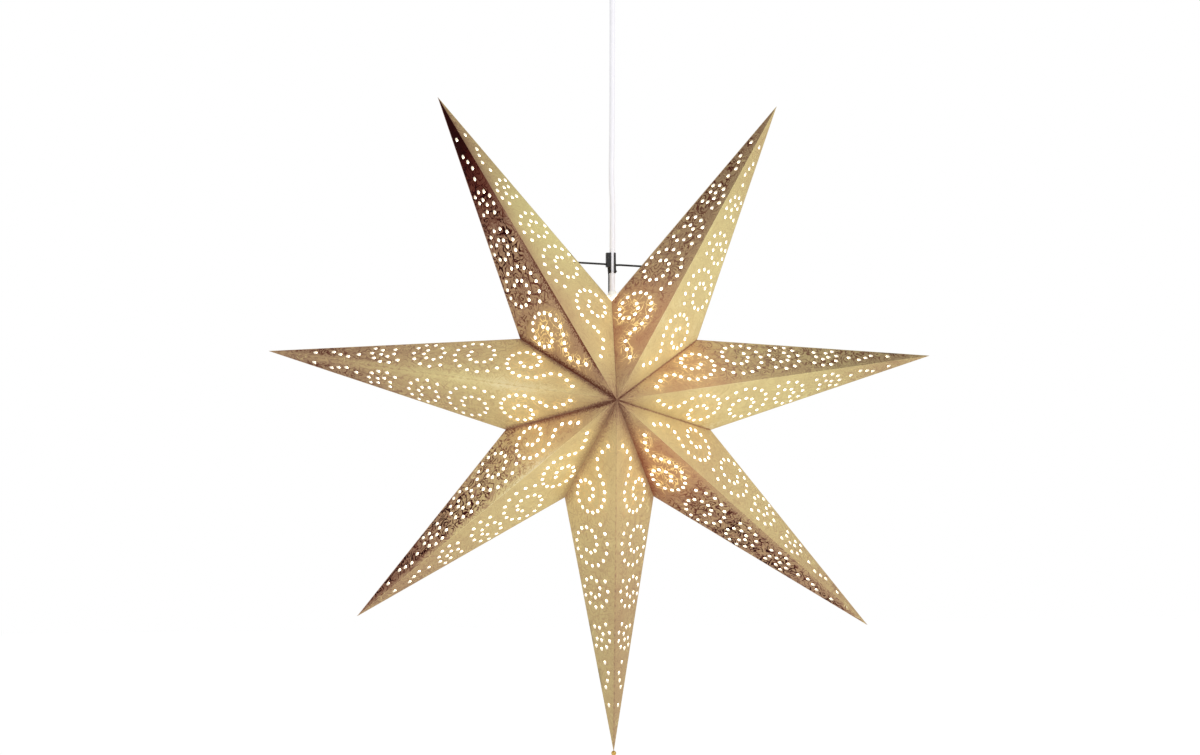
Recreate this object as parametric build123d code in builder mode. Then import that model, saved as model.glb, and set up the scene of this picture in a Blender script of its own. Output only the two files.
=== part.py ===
from build123d import *
import os
from math import cos, sin, tan, radians, hypot, pi

# Paper star lantern: seven folded card points round a small screw lamp, hung by its cord
# from a cup on the ceiling. Millimetres, +Z up. The origin is on the ceiling, at the
# middle of the plate's top face. The star faces -Y and its outline lies in the plane y = 0.

# Star
star_drop = 452.0            # ceiling down to the star's centre
star_shift = -3.2            # star's centre sideways of the cord
half_depth = 78.0            # star plane to the front apex, and to the back apex
card = 0.4                   # thickness of the card
point_names = ("upper_left", "left", "lower_left", "bottom", "lower_right", "right", "upper_right")
point_bearing = (119.6, 171.9, 220.6, 270.8, 319.0, 367.7, 420.1)   # degrees from +X towards +Z
point_reach = (313.0, 308.0, 299.0, 321.0, 318.0, 301.0, 310.0)     # centre to tip, as the card bows
valley_reach = 97.5          # centre to a notch between two points
seam_bearing = 88.65         # the valley that opens, above the centre
seam_reach = 88.7
flap_width = 6.0             # glue flap behind the neighbour's edge
flap_start, flap_end = 0.20, 0.92    # where the flap runs, in shares of the valley
glue_line = 0.05
bead_radius = 2.3            # bead on the lowest tip

# Punched holes: curls of holes along each panel, placed in shares of its ridge and width
hole_radius = 1.8
edge_margin = 1.0            # least card between a hole and the panel's edge
lead_in = ((0.132, 0.364), (0.153, 0.545), (0.177, 0.632), (0.203, 0.541))
curls = (                    # ridge and width shares, first and last radius, start, first pitch, holes
    (0.268, 0.620, 22.0, 6.6, 225, 7.7, 18),
    (0.413, 0.565, 23.2, 8.0, 217, 9.5, 20),
    (0.545, 0.570, 17.2, 6.0, 232, 9.7, 15),
    (0.670, 0.610, 14.2, 4.3, 218, 8.2, 13),
)
last_pitch = 6.3             # between a curl's innermost holes
steady_share = 0.2           # how much of a curl keeps its first radius before it winds in
tip_spots = ((0.748, 0.488), (0.7745, 0.337), (0.7985, 0.445), (0.820, 0.610), (0.869, 0.525))

# Hanger: a wire bar through the two upper points, in a clip on the cord
bar_rise = 122.5             # star centre up to the bar
bar_tilt = 3.0               # degrees, the left end higher
bar_radius = 0.9
bar_hole_clearance = 0.3
bar_overhang = 9.0           # bar inside each point
jog_clearance = 0.9          # where the bar jogs behind the cord
jog_half, jog_flat_half, jog_bend = 6.8, 3.3, 1.6
drop_wire_radius = 0.6
drop_wire_bend = 6.0
drop_wire_seat = 4.0         # how deep the drop wire stands in the clip and in the lampholder's neck
clip_wall = 1.0
clip_height = 18.5
clip_top_rise = 133.2
clip_block_height = 12.8
clip_slot = 2.8
clip_block_reach = 5.6       # cord axis to the block's outer face
clip_block_right = 3.2
clip_block_wall = 1.2        # behind the bar
clip_block_corner = 0.8
clip_ear = 5.0               # width of the block's front half
barb, barb_rise, barb_slope = 1.0, 2.0, 0.6
sleeve_taper, sleeve_lead = 0.3, 0.4

# Cord
cord_diameter = 5.0
cord_fit = 0.08
cord_route = ((0, -205), (-1.0, -252), (0.4, -274), (0, -312))   # x and z of its slight kinks

# Lampholder, heights over the star's centre
neck_rise = 98.5
neck_radius = 4.2
neck_clearance = 1.9         # lets the star rock round the neck
cone_top, cone_bottom = 84.0, 70.0
holder_radius = 13.0
holder_wall = 1.6
cap_bottom = 66.0
neck_lip, neck_taper = 0.4, 3.2
cone_rounding = 1.5
cap_roof = 1.5               # plastic over the cap's inside
spigot_height = 3.0
spigot_wall = 1.4
seat_step = 1.0              # the body's inner step under the insert
mouth_lip = 3.0              # thickness of the body's lip at its mouth
mouth_gap = 1.2              # round the screw shell there
rim_rounding = 1.0
groove_count, groove_radius, groove_margin = 24, 0.5, 6.0
body_bottom = 36.0
insert_height = 8.0
cord_end_rise = 78.0
shell_bore = 7.05
shell_wall = 0.35
shell_length = 19.0
shell_seat = 1.5             # how deep the shell stands in the insert
terminal_offset = 6.2
terminal_screw_radius = 1.25
terminal_head, terminal_head_height = 2.0, 1.2
stem_width, stem_depth = 4.2, 2.4    # centre contact's stem
foot_width, foot_height = 6.0, 0.5   # and its foot
slot_width = 0.5

# Bulb
bulb_length = 76.0
globe_radius = 22.5
globe_sweep = 130            # degrees of the globe's circle before the glass turns into its neck
glass_wall = 0.8
glass_seat = 4.0             # the glass ends this far under the cap's top
glass_fit = 0.05
lamp_cap_radius = 6.8
lamp_cap_length = 17.0
lamp_cap_wall, lamp_cap_roof = 0.4, 0.8
thread_pitch, thread_depth, thread_start = 2.8, 0.4, 1.5
tip_contact_radius, tip_contact_height, tip_rounding = 2.2, 1.0, 0.6
insulator_height, insulator_radius = 2.2, 2.6
cap_shoulder = 1.0           # the insulator's foot lies this far inside the cap
contact_gap = 0.1
stem_foot_radius, stem_radius, stem_end_radius = 4.2, 1.8, 1.4
stem_flare = 12.0
stem_end_rise = 8.0          # over the globe's centre
filament_radius, filament_bend = 0.25, 0.6
filament_route = (           # x and z from the stem's end
    (-1, 0), (-1, -2), (-9, -6), (-6, -12), (-2, -8), (2, -12), (6, -8), (9, -6), (1, -2), (1, 0),
)

# Ceiling fitting
plate_length, plate_width, plate_thick = 72.0, 20.0, 1.5
plate_lip, plate_lip_inset, plate_corner = 4.0, 10.0, 4.0
screw_spacing, screw_hole_radius = 50.0, 2.25
shank_radius, shank_fit, shank_spare = 2.5, 0.05, 1.5
nut_height, nut_radius, nut_fit = 3.5, 4.6, 0.02
hook_wire = 1.5
hook_radius = 6.5
hook_lead, hook_drop = 1.5, 4.5      # below the shank, before and after the wire turns out
hook_tip = 8.5
hook_bends = (1.6, 2.5, 6.2, 6.2)
hook_foot = 22.5             # ceiling down to the hook's lowest centre line
ring_wire = 1.25
ring_radius = 7.0
link_gap = 0.3
hanger_radius = 6.0
hanger_length = 16.0
hanger_rounding = 1.0
cord_grip = 10.0             # cord inside the barrel
clamp_radius, clamp_head, clamp_head_height = 1.5, 2.6, 1.8
clamp_rise = 5.0             # clamp screw over the barrel's foot
clamp_slot, clamp_slot_depth = 0.7, 0.9
eye_hole, eye_wall, eye_thick = 3.0, 2.2, 3.0
cup_gap = 7.0                # ceiling down to the cup's rim
cup_height = 54.0
cup_radius = 43.0
cup_floor_radius = 15.0
cup_wall = 1.6
cup_band = 6.0               # upright wall under the rim
collar_radius = 6.5
collar_length = 12.0
collar_spigot, collar_rise = 4.6, 2.8
collar_draft, collar_lead, collar_foot = 0.6, 3.0, 1.32
grub_radius, grub_sink = 1.5, 0.45
block_length, block_width, block_height = 18.0, 10.0, 12.0
block_corner = 1.2
block_gap = 3.5              # hanger's barrel back to the block
block_rise = 4.0             # leads' level up to the block's foot
wire_bore_depth = 4.0
block_screw_radius, block_screw_fit = 1.55, 0.05
block_screw_length, block_screw_sink = 4.0, 1.0
block_slot_depth = 0.7
lead_radius, lead_pitch, lead_bend = 0.9, 4.4, 1.9
lead_drop = 3.0              # barrel's top down to the leads
lead_seat = 4.0              # leads inside the barrel
lead_run_out = 5.5           # where the leads start to spread, before the block's middle

cord_radius = cord_diameter / 2
bar_jog = cord_radius + bar_radius + jog_clearance
centre = Vector(star_shift, 0, -star_drop)
front, back = Vector(0, -half_depth, 0), Vector(0, half_depth, 0)
os.makedirs("parts", exist_ok=True)


def toward(bearing, reach):
    return Vector(reach * cos(radians(bearing)), 0, reach * sin(radians(bearing)))


# The valleys, anticlockwise from the seam at the top round to the seam again.
# The seam gapes round the lampholder's neck, so its ends lie in front of and behind it.
valley_bearing = [seam_bearing]
valley_bearing += [(a + b) / 2 for a, b in zip(point_bearing, point_bearing[1:])]
valley_bearing += [seam_bearing + 360]
seam_gape = neck_radius + neck_clearance + 2 * card


def valley_end(number, face):
    if number in (0, len(point_names)):
        return toward(valley_bearing[number], seam_reach) + face * (seam_gape / half_depth)
    return toward(valley_bearing[number], valley_reach)


def plane_distance(corners):
    normal = (corners[1] - corners[0]).cross(corners[2] - corners[0]).normalized()
    return abs(normal.dot(corners[0]))


# Every panel's inner face is its outer face drawn in towards the star's centre by one
# factor, so the folds between panels are mitred by themselves.
regular_panel = [front, toward(point_bearing[1], point_reach[1]), valley_end(1, front)]
panel_depth = plane_distance(regular_panel)
inside = 1 - card / panel_depth
flap_outside = 1 - (card + glue_line) / panel_depth
flap_inside = 1 - (2 * card + glue_line) / panel_depth


def panel(corners, outer=1.0, inner=inside, mode=Mode.ADD):
    across = (corners[1] - corners[0]).cross(corners[2] - corners[0])
    skins = []
    for scale in (outer, inner):
        face = Plane(centre + corners[0] * scale, x_dir=corners[1] - corners[0], z_dir=across)
        with BuildSketch(face) as skin:
            with BuildLine():
                Polyline([face.to_local_coords(centre + c * scale) for c in corners], close=True)
            make_face()
        skins.append(skin.sketch)
    loft(skins, ruled=True, mode=mode)


def curl_spots(u, v, first_radius, last_radius, start, first_pitch, count):
    # Steps from hole to hole round (u, v), turning more with each step as the curl winds in.
    angle = radians(start)
    u, v = u + first_radius * cos(angle), v + first_radius * sin(angle)
    heading = angle + pi / 2
    spots = [(u, v)]
    for step in range(count - 1):
        share = (step + 0.5) / (count - 1)
        inward = max(0, share - steady_share) / (1 - steady_share)
        radius = first_radius + (last_radius - first_radius) * inward
        pitch = first_pitch + (last_pitch - first_pitch) * share
        heading += pitch / radius / 2
        u, v = u + pitch * cos(heading), v + pitch * sin(heading)
        heading += pitch / radius / 2
        spots.append((u, v))
    return spots


def hole_spots(ridge, notch_along, notch_out):
    # Hole centres on a panel: u along the ridge from the apex, v away from the ridge.
    def place(share, height):
        u = share * ridge
        width = notch_out * (u / notch_along if u < notch_along else (ridge - u) / (ridge - notch_along))
        return u, height * width

    def room(u, v):
        outer = notch_out * (ridge - u) - (ridge - notch_along) * v
        inner = notch_out * u - notch_along * v
        return min(v, outer / hypot(notch_out, ridge - notch_along), inner / hypot(notch_out, notch_along))

    spots = [place(*spot) for spot in lead_in + tip_spots]
    for share, height, *shape in curls:
        spots += curl_spots(*place(share, height), *shape)
    return [spot for spot in spots if room(*spot) > hole_radius + edge_margin]


def punch(apex, tip, notch):
    face = Plane(centre + apex, x_dir=tip - apex, z_dir=(tip - apex).cross(notch - apex))
    flat = face.to_local_coords(centre + notch)
    with BuildSketch(face) as holes:
        with Locations(*hole_spots((tip - apex).length, flat.X, flat.Y)):
            Circle(hole_radius)
    extrude(holes.sketch, amount=3 * card, both=True, mode=Mode.SUBTRACT)


def glue_flap(apex, number, own_tip, next_tip):
    # The flap leaves this point's edge along a valley and lies behind the next point's panel.
    end = valley_end(number, apex)
    along = (end - apex).normalized()
    length = (end - apex).length
    for tip, width, outer in ((own_tip, 2 * card, inside), (next_tip, flap_width, flap_outside)):
        out = (tip - apex) - along * (tip - apex).dot(along)
        out = out.normalized() * width
        near, far = apex + along * (length * flap_start), apex + along * (length * flap_end)
        slope = along * width
        panel([near, far, far - slope + out, near + slope + out], outer, flap_inside)


# The seven points: each is one folded sheet, open towards the middle of the star.
neck_hole = neck_radius + neck_clearance
bar_across = Vector(cos(radians(bar_tilt)), 0, -sin(radians(bar_tilt)))
bar_up = Vector(sin(radians(bar_tilt)), 0, cos(radians(bar_tilt)))
bar_middle = Vector(0, 0, bar_rise - star_drop)
last = len(point_names) - 1
for number, name in enumerate(point_names):
    tip = toward(point_bearing[number], point_reach[number])
    with BuildPart() as point:
        for apex in (front, back):
            for side in (number, number + 1):
                panel([apex, tip, valley_end(side, apex)])
                punch(apex, tip, valley_end(side, apex))
            following = toward(point_bearing[(number + 1) % 7], point_reach[(number + 1) % 7])
            glue_flap(apex, number + 1, tip, following)
        if number in (0, last):
            seam = 0 if number == 0 else last + 1
            panel([tip, valley_end(seam, front), valley_end(seam, back)])
            with BuildSketch(Plane.XY.offset(-star_drop)):
                Circle(neck_hole)
            extrude(amount=bar_rise, mode=Mode.SUBTRACT)
            with BuildSketch(Plane(bar_middle, x_dir=(0, 1, 0), z_dir=bar_across)):
                Circle(bar_radius + bar_hole_clearance)
            extrude(amount=neck_rise, both=True, mode=Mode.SUBTRACT)
    point.part.label = f"point_{name}"
    export_step(point.part, f"parts/point_{name}.step")

# Bead glued on the lowest tip
low = point_names.index("bottom")
low_tip = toward(point_bearing[low], point_reach[low])
with BuildPart() as tip_bead:
    with Locations(centre + low_tip + low_tip.normalized() * (bead_radius / 2)):
        Sphere(bead_radius)
    for apex in (front, back):
        for side in (low, low + 1):
            panel([apex, low_tip, valley_end(side, apex)], outer=1.0, inner=0.5, mode=Mode.SUBTRACT)
tip_bead.part.label = "tip_bead"
export_step(tip_bead.part, "parts/tip_bead.step")

# Hanger bar: a wire with a jog behind the cord, on the line through both upper points
bar_plane = Plane(bar_middle, x_dir=bar_across, z_dir=bar_up)


def crease_distance(number, seam):
    # Along the bar from the cord to where it goes through a point's open crease.
    tip = toward(point_bearing[number], point_reach[number])
    foot = valley_end(seam, Vector(0, 0, 0))
    run, start = tip - foot, Vector(-star_shift, 0, bar_rise) - foot
    return (start.X * run.Z - start.Z * run.X) / (bar_across.Z * run.X - bar_across.X * run.Z)


bar_left = crease_distance(0, 0) - bar_overhang
bar_right = crease_distance(last, last + 1) + bar_overhang
with BuildPart() as hanger_bar:
    with BuildLine(bar_plane) as bar_line:
        FilletPolyline(
            (bar_left, 0), (-jog_half, 0), (-jog_flat_half, bar_jog),
            (jog_flat_half, bar_jog), (jog_half, 0), (bar_right, 0), radius=jog_bend,
        )
    with BuildSketch(Plane(bar_line.line @ 0, z_dir=bar_line.line % 0)):
        Circle(bar_radius)
    sweep()
hanger_bar.part.label = "hanger_bar"
export_step(hanger_bar.part, "parts/hanger_bar.step")

# Drop wire: stands on the lampholder's cap beside the cord and carries the clip
wire_x = -(cord_radius + drop_wire_radius + 0.1)
wire_top_x = -(cord_radius + clip_wall + drop_wire_radius)
clip_top = clip_top_rise - star_drop
clip_bottom = clip_top - clip_height
block_bottom = clip_top - clip_block_height
neck_top = neck_rise - star_drop
wire_foot = neck_top - drop_wire_seat
with BuildPart() as drop_wire:
    with BuildLine(Plane.XZ) as wire_line:
        FilletPolyline(
            (wire_top_x, clip_top - drop_wire_seat), (wire_top_x, block_bottom + 2),
            (wire_x, clip_bottom - 2), (wire_x, wire_foot), radius=drop_wire_bend,
        )
    with BuildSketch(Plane(wire_line.line @ 0, z_dir=wire_line.line % 0)):
        Circle(drop_wire_radius)
    sweep()
drop_wire.part.label = "drop_wire"
export_step(drop_wire.part, "parts/drop_wire.step")

# Clip: a split sleeve on the cord with a block beside and behind it that grips both wires
sleeve_bore = cord_radius + 0.02
sleeve_radius = cord_radius + clip_wall
with BuildPart() as hanger_clip:
    with BuildSketch(Plane.XZ):
        with BuildLine():
            Polyline(
                (sleeve_bore, clip_top), (sleeve_radius - sleeve_taper, clip_top),
                (sleeve_radius, clip_bottom + barb_rise + barb_slope),
                (sleeve_radius + barb, clip_bottom + barb_rise), (sleeve_radius - sleeve_lead, clip_bottom),
                (sleeve_bore, clip_bottom), close=True,
            )
        make_face()
    revolve(axis=Axis.Z)
    block_back = bar_jog + bar_radius + clip_block_wall
    with BuildSketch(Plane.XY.offset(block_bottom)):
        with Locations(((clip_block_right - clip_block_reach) / 2, block_back / 2)):
            RectangleRounded(clip_block_right + clip_block_reach, block_back, clip_block_corner)
        with Locations((-clip_block_reach / 2 - cord_radius / 4, 0)):
            RectangleRounded(clip_block_reach - cord_radius / 2, clip_ear, clip_block_corner)
        Circle(sleeve_bore, mode=Mode.SUBTRACT)
    extrude(amount=clip_block_height)
    with BuildSketch(Plane.XY.offset(clip_bottom)):
        with Locations((0, -cord_diameter)):
            Rectangle(clip_slot, 2 * cord_diameter)
    extrude(amount=clip_height, mode=Mode.SUBTRACT)
    add(hanger_bar.part, mode=Mode.SUBTRACT)
    add(drop_wire.part, mode=Mode.SUBTRACT)
hanger_clip.part.label = "hanger_clip"
export_step(hanger_clip.part, "parts/hanger_clip.step")

# Lampholder cap: cone and neck over the cord, with a skirt over the body's spigot
cap_low = cap_bottom - star_drop
cone_high, cone_low = cone_top - star_drop, cone_bottom - star_drop
cord_bore = cord_radius + 0.1
cap_bore = holder_radius - holder_wall
with BuildPart() as holder_cap:
    with BuildSketch(Plane.XZ):
        with BuildLine():
            Polyline(
                (cord_bore, neck_top), (cord_bore + neck_lip, neck_top), (neck_radius, neck_top - neck_taper),
                (neck_radius, cone_high), (holder_radius, cone_low), (holder_radius, cap_low),
                (cap_bore, cap_low), (cap_bore, cone_low - 0.4 * cap_roof),
                (cord_bore + 1.0, cone_high - cap_roof), (cord_bore, cone_high - cap_roof), close=True,
            )
        make_face()
    revolve(axis=Axis.Z)
    for edge_height in (cone_high, cone_low):
        fillet(holder_cap.edges().filter_by(GeomType.CIRCLE).filter_by_position(
            Axis.Z, edge_height - 0.01, edge_height + 0.01), cone_rounding)
    add(drop_wire.part, mode=Mode.SUBTRACT)
holder_cap.part.label = "holder_cap"
export_step(holder_cap.part, "parts/holder_cap.step")

# Lampholder body: a plain sleeve with a spigot into the cap and a lip at its mouth
body_low = body_bottom - star_drop
spigot_top = cap_low + spigot_height
spigot_radius = cap_bore - 0.05
body_bore = spigot_radius - spigot_wall
mouth_radius = shell_bore + shell_wall + mouth_gap
insert_low = cap_low + spigot_height - insert_height
with BuildPart() as holder_body:
    with BuildSketch(Plane.XZ):
        with BuildLine():
            Polyline(
                (body_bore, spigot_top), (spigot_radius, spigot_top), (spigot_radius, cap_low),
                (holder_radius, cap_low), (holder_radius, body_low), (mouth_radius, body_low),
                (mouth_radius, body_low + mouth_lip), (body_bore - seat_step, body_low + mouth_lip),
                (body_bore - seat_step, insert_low), (body_bore, insert_low), close=True,
            )
        make_face()
    revolve(axis=Axis.Z)
    rims = holder_body.edges().filter_by(GeomType.CIRCLE).group_by(Axis.Z)[0]
    fillet(rims.sort_by(SortBy.RADIUS)[-1], rim_rounding)
    with BuildSketch(Plane.XY.offset(body_low + groove_margin)):
        with PolarLocations(holder_radius, groove_count):
            Circle(groove_radius)
    extrude(amount=cap_low - body_low - 1.5 * groove_margin, mode=Mode.SUBTRACT)
holder_body.part.label = "holder_body"
export_step(holder_body.part, "parts/holder_body.step")

# Insert that carries the contacts, resting on the body's inner step
insert_top = insert_low + insert_height
with BuildPart() as holder_insert:
    with BuildSketch(Plane.XY.offset(insert_low)):
        Circle(body_bore - 0.05)
        Rectangle(stem_width, stem_depth, mode=Mode.SUBTRACT)
        with Locations((-terminal_offset, 0), (terminal_offset, 0)):
            Circle(terminal_screw_radius, mode=Mode.SUBTRACT)
    extrude(amount=insert_height)
    with BuildSketch(Plane.XY.offset(insert_low)):
        Circle(shell_bore + shell_wall)
        Circle(shell_bore, mode=Mode.SUBTRACT)
    extrude(amount=shell_seat, mode=Mode.SUBTRACT)
holder_insert.part.label = "holder_insert"
export_step(holder_insert.part, "parts/holder_insert.step")

# Screw shell: the thin brass sleeve that the bulb's cap sits in
shell_top = insert_low + shell_seat
with BuildPart() as screw_shell:
    with BuildSketch(Plane.XY.offset(shell_top - shell_length)):
        Circle(shell_bore + shell_wall)
        Circle(shell_bore, mode=Mode.SUBTRACT)
    extrude(amount=shell_length)
screw_shell.part.label = "screw_shell"
export_step(screw_shell.part, "parts/screw_shell.step")

# Centre contact: a stem through the insert with a foot over the bulb's contact
with BuildPart() as centre_contact:
    with BuildSketch(Plane.XY.offset(insert_low - foot_height)):
        Rectangle(foot_width, stem_depth)
    extrude(amount=foot_height)
    with BuildSketch(Plane.XY.offset(insert_low)):
        Rectangle(stem_width, stem_depth)
    extrude(amount=insert_height)
centre_contact.part.label = "centre_contact"
export_step(centre_contact.part, "parts/centre_contact.step")

# The two terminal screws in the insert
with BuildPart() as contact_screws:
    for x in (-terminal_offset, terminal_offset):
        with BuildSketch(Plane.XY.offset(insert_low + shell_seat)):
            with Locations((x, 0)):
                Circle(terminal_screw_radius)
        extrude(amount=insert_height - shell_seat)
        with BuildSketch(Plane.XY.offset(insert_top)):
            with Locations((x, 0)):
                Circle(terminal_head)
        extrude(amount=terminal_head_height)
        with BuildSketch(Plane.XY.offset(insert_top + terminal_head_height)):
            with Locations((x, 0)):
                Rectangle(2 * terminal_head, slot_width)
        extrude(amount=-terminal_head_height / 2, mode=Mode.SUBTRACT)
contact_screws.part.label = "contact_screws"
export_step(contact_screws.part, "parts/contact_screws.step")

# Bulb: contact, insulator, cap, globe, stem and filament
contact_top = insert_low - foot_height - contact_gap
insulator_top = contact_top - tip_contact_height
lamp_cap_top = insulator_top - insulator_height
lamp_cap_low = lamp_cap_top - lamp_cap_length
globe_low = contact_top - bulb_length
globe_centre = globe_low + globe_radius
with BuildPart() as bulb_contact:
    with BuildSketch(Plane.XY.offset(insulator_top)):
        Circle(tip_contact_radius)
    extrude(amount=tip_contact_height)
    fillet(bulb_contact.faces().sort_by(Axis.Z)[-1].edges(), tip_rounding)
bulb_contact.part.label = "bulb_contact"
export_step(bulb_contact.part, "parts/bulb_contact.step")

with BuildPart() as bulb_insulator:
    with BuildSketch(Plane.XY.offset(lamp_cap_top)):
        Circle(lamp_cap_radius - cap_shoulder)
    with BuildSketch(Plane.XY.offset(insulator_top)):
        Circle(insulator_radius)
    loft(ruled=True)
bulb_insulator.part.label = "bulb_insulator"
export_step(bulb_insulator.part, "parts/bulb_insulator.step")

thread_root = lamp_cap_radius - thread_depth
cap_inside = thread_root - lamp_cap_wall
glass_neck = cap_inside - glass_fit
glass_top = lamp_cap_top - glass_seat
with BuildPart() as bulb_cap:
    outline = [(0.0, lamp_cap_top), (lamp_cap_radius - cap_shoulder, lamp_cap_top)]
    for ring in range(int((lamp_cap_length - glass_seat) / thread_pitch)):
        ring_top = lamp_cap_top - thread_start - ring * thread_pitch
        outline += [(thread_root, ring_top), (lamp_cap_radius, ring_top - thread_pitch / 2)]
    outline += [
        (thread_root, ring_top - thread_pitch), (thread_root, lamp_cap_low), (cap_inside, lamp_cap_low),
        (cap_inside, lamp_cap_top - lamp_cap_roof), (0.0, lamp_cap_top - lamp_cap_roof),
    ]
    with BuildSketch(Plane.XZ):
        with BuildLine():
            Polyline(outline, close=True)
        make_face()
    revolve(axis=Axis.Z)
bulb_cap.part.label = "bulb_cap"
export_step(bulb_cap.part, "parts/bulb_cap.step")

with BuildPart() as bulb_glass:
    for skin, mode in ((0.0, Mode.ADD), (glass_wall, Mode.SUBTRACT)):
        radius, neck = globe_radius - skin, glass_neck - skin
        with BuildSketch(Plane.XZ):
            with BuildLine():
                bottom_arc = CenterArc((0, globe_centre), radius, -90, globe_sweep)
                neck_start = (neck, lamp_cap_low - 1)
                into_neck = Spline(bottom_arc @ 1, neck_start, tangents=(bottom_arc % 1, (0, 1)))
                Polyline(into_neck @ 1, (neck, glass_top - skin), (0, glass_top - skin), bottom_arc @ 0)
            make_face()
        revolve(axis=Axis.Z, mode=mode)
bulb_glass.part.label = "bulb_glass"
export_step(bulb_glass.part, "parts/bulb_glass.step")

stem_foot = glass_top - glass_wall
stem_low = globe_centre + stem_end_rise
with BuildPart() as bulb_stem:
    with BuildSketch(Plane.XZ):
        with BuildLine():
            Polyline(
                (0, stem_foot), (stem_foot_radius, stem_foot), (stem_radius, stem_foot - stem_flare),
                (stem_end_radius, stem_low), (0, stem_low), close=True,
            )
        make_face()
    revolve(axis=Axis.Z)
bulb_stem.part.label = "bulb_stem"
export_step(bulb_stem.part, "parts/bulb_stem.step")

with BuildPart() as bulb_filament:
    with BuildLine(Plane.XZ) as filament_line:
        FilletPolyline(*[(x, stem_low + z) for x, z in filament_route], radius=filament_bend)
    with BuildSketch(Plane(filament_line.line @ 0, z_dir=filament_line.line % 0)):
        Circle(filament_radius)
    sweep()
bulb_filament.part.label = "bulb_filament"
export_step(bulb_filament.part, "parts/bulb_filament.step")

# Ceiling plate: a pressed channel with two screw holes and the hook's hole
with BuildPart() as ceiling_plate:
    with BuildSketch(Plane.XY.offset(-plate_thick)):
        RectangleRounded(plate_length, plate_width, plate_corner)
        with GridLocations(screw_spacing, 0, 2, 1):
            Circle(screw_hole_radius, mode=Mode.SUBTRACT)
        Circle(shank_radius + shank_fit, mode=Mode.SUBTRACT)
    extrude(amount=plate_thick)
    with BuildSketch(Plane.XY.offset(-plate_thick)):
        with GridLocations(0, plate_width - plate_thick, 1, 2):
            Rectangle(plate_length - plate_lip_inset, plate_thick)
    extrude(amount=-plate_lip)
ceiling_plate.part.label = "ceiling_plate"
export_step(ceiling_plate.part, "parts/ceiling_plate.step")

# Ceiling hook: a shank through the plate, then the open hook
shank_end = -plate_thick - nut_height - shank_spare
with BuildPart() as ceiling_hook:
    with BuildSketch(Plane.XY.offset(shank_end)):
        Circle(shank_radius)
    extrude(amount=-shank_end)
    with BuildLine(Plane.XZ) as hook_line:
        FilletPolyline(
            (0, shank_end + 1), (0, shank_end - hook_lead), (hook_radius, shank_end - hook_drop),
            (hook_radius, -hook_foot), (-hook_radius, -hook_foot), (-hook_radius, hook_tip - hook_foot),
            radius=list(hook_bends),
        )
    with BuildSketch(Plane(hook_line.line @ 0, z_dir=hook_line.line % 0)):
        Circle(hook_wire)
    sweep()
ceiling_hook.part.label = "ceiling_hook"
export_step(ceiling_hook.part, "parts/ceiling_hook.step")

# Nut that holds the hook to the plate
with BuildPart() as hook_nut:
    with BuildSketch(Plane.XY.offset(-plate_thick - nut_height)):
        RegularPolygon(nut_radius, 6)
        Circle(shank_radius + nut_fit, mode=Mode.SUBTRACT)
    extrude(amount=nut_height)
hook_nut.part.label = "hook_nut"
export_step(hook_nut.part, "parts/hook_nut.step")

# Hanging ring: rests in the hook, in the plane x = 0
ring_seat = -hook_foot + hook_wire + ring_wire + link_gap
ring_centre = ring_seat - ring_radius
with BuildPart() as hanging_ring:
    with BuildSketch(Plane.XZ):
        with Locations((0, ring_seat)):
            Circle(ring_wire)
    revolve(axis=Axis((0, 0, ring_centre), (1, 0, 0)))
hanging_ring.part.label = "hanging_ring"
export_step(hanging_ring.part, "parts/hanging_ring.step")

# Cord hanger: an eye on the ring over a barrel that clamps the cord's end
ring_foot = ring_centre - ring_radius
eye_centre = ring_foot + ring_wire + link_gap - eye_hole
barrel_top = eye_centre - eye_hole - eye_wall
barrel_low = barrel_top - hanger_length
cord_top = barrel_low + cord_grip
hanger_bore = cord_radius + cord_fit
screw_height = barrel_low + clamp_rise
lead_height = barrel_top - lead_drop
with BuildPart() as cord_hanger:
    with BuildSketch(Plane.XZ.offset(-eye_thick / 2)):
        with Locations((0, eye_centre)):
            Circle(eye_hole + eye_wall)
        with Locations((0, (eye_centre + barrel_top) / 2)):
            Rectangle(2 * eye_hole + eye_wall, eye_centre - barrel_top)
        with Locations((0, eye_centre)):
            Circle(eye_hole, mode=Mode.SUBTRACT)
    extrude(amount=eye_thick)
    with BuildSketch(Plane.XY.offset(barrel_low)):
        Circle(hanger_radius)
    extrude(amount=hanger_length)
    fillet(cord_hanger.faces().sort_by(Axis.Z)[0].edges(), hanger_rounding)
    with BuildSketch(Plane.XY.offset(barrel_low)):
        Circle(hanger_bore)
    extrude(amount=cord_top - barrel_low, mode=Mode.SUBTRACT)
    with BuildSketch(Plane.XZ.offset(-hanger_radius)):
        with Locations((-lead_pitch / 2, lead_height), (lead_pitch / 2, lead_height)):
            Circle(lead_radius)
    extrude(amount=lead_seat, mode=Mode.SUBTRACT)
    with BuildSketch(Plane.XZ.offset(hanger_bore)):
        with Locations((0, screw_height)):
            Circle(clamp_radius)
    extrude(amount=hanger_radius, mode=Mode.SUBTRACT)
cord_hanger.part.label = "cord_hanger"
export_step(cord_hanger.part, "parts/cord_hanger.step")

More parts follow.
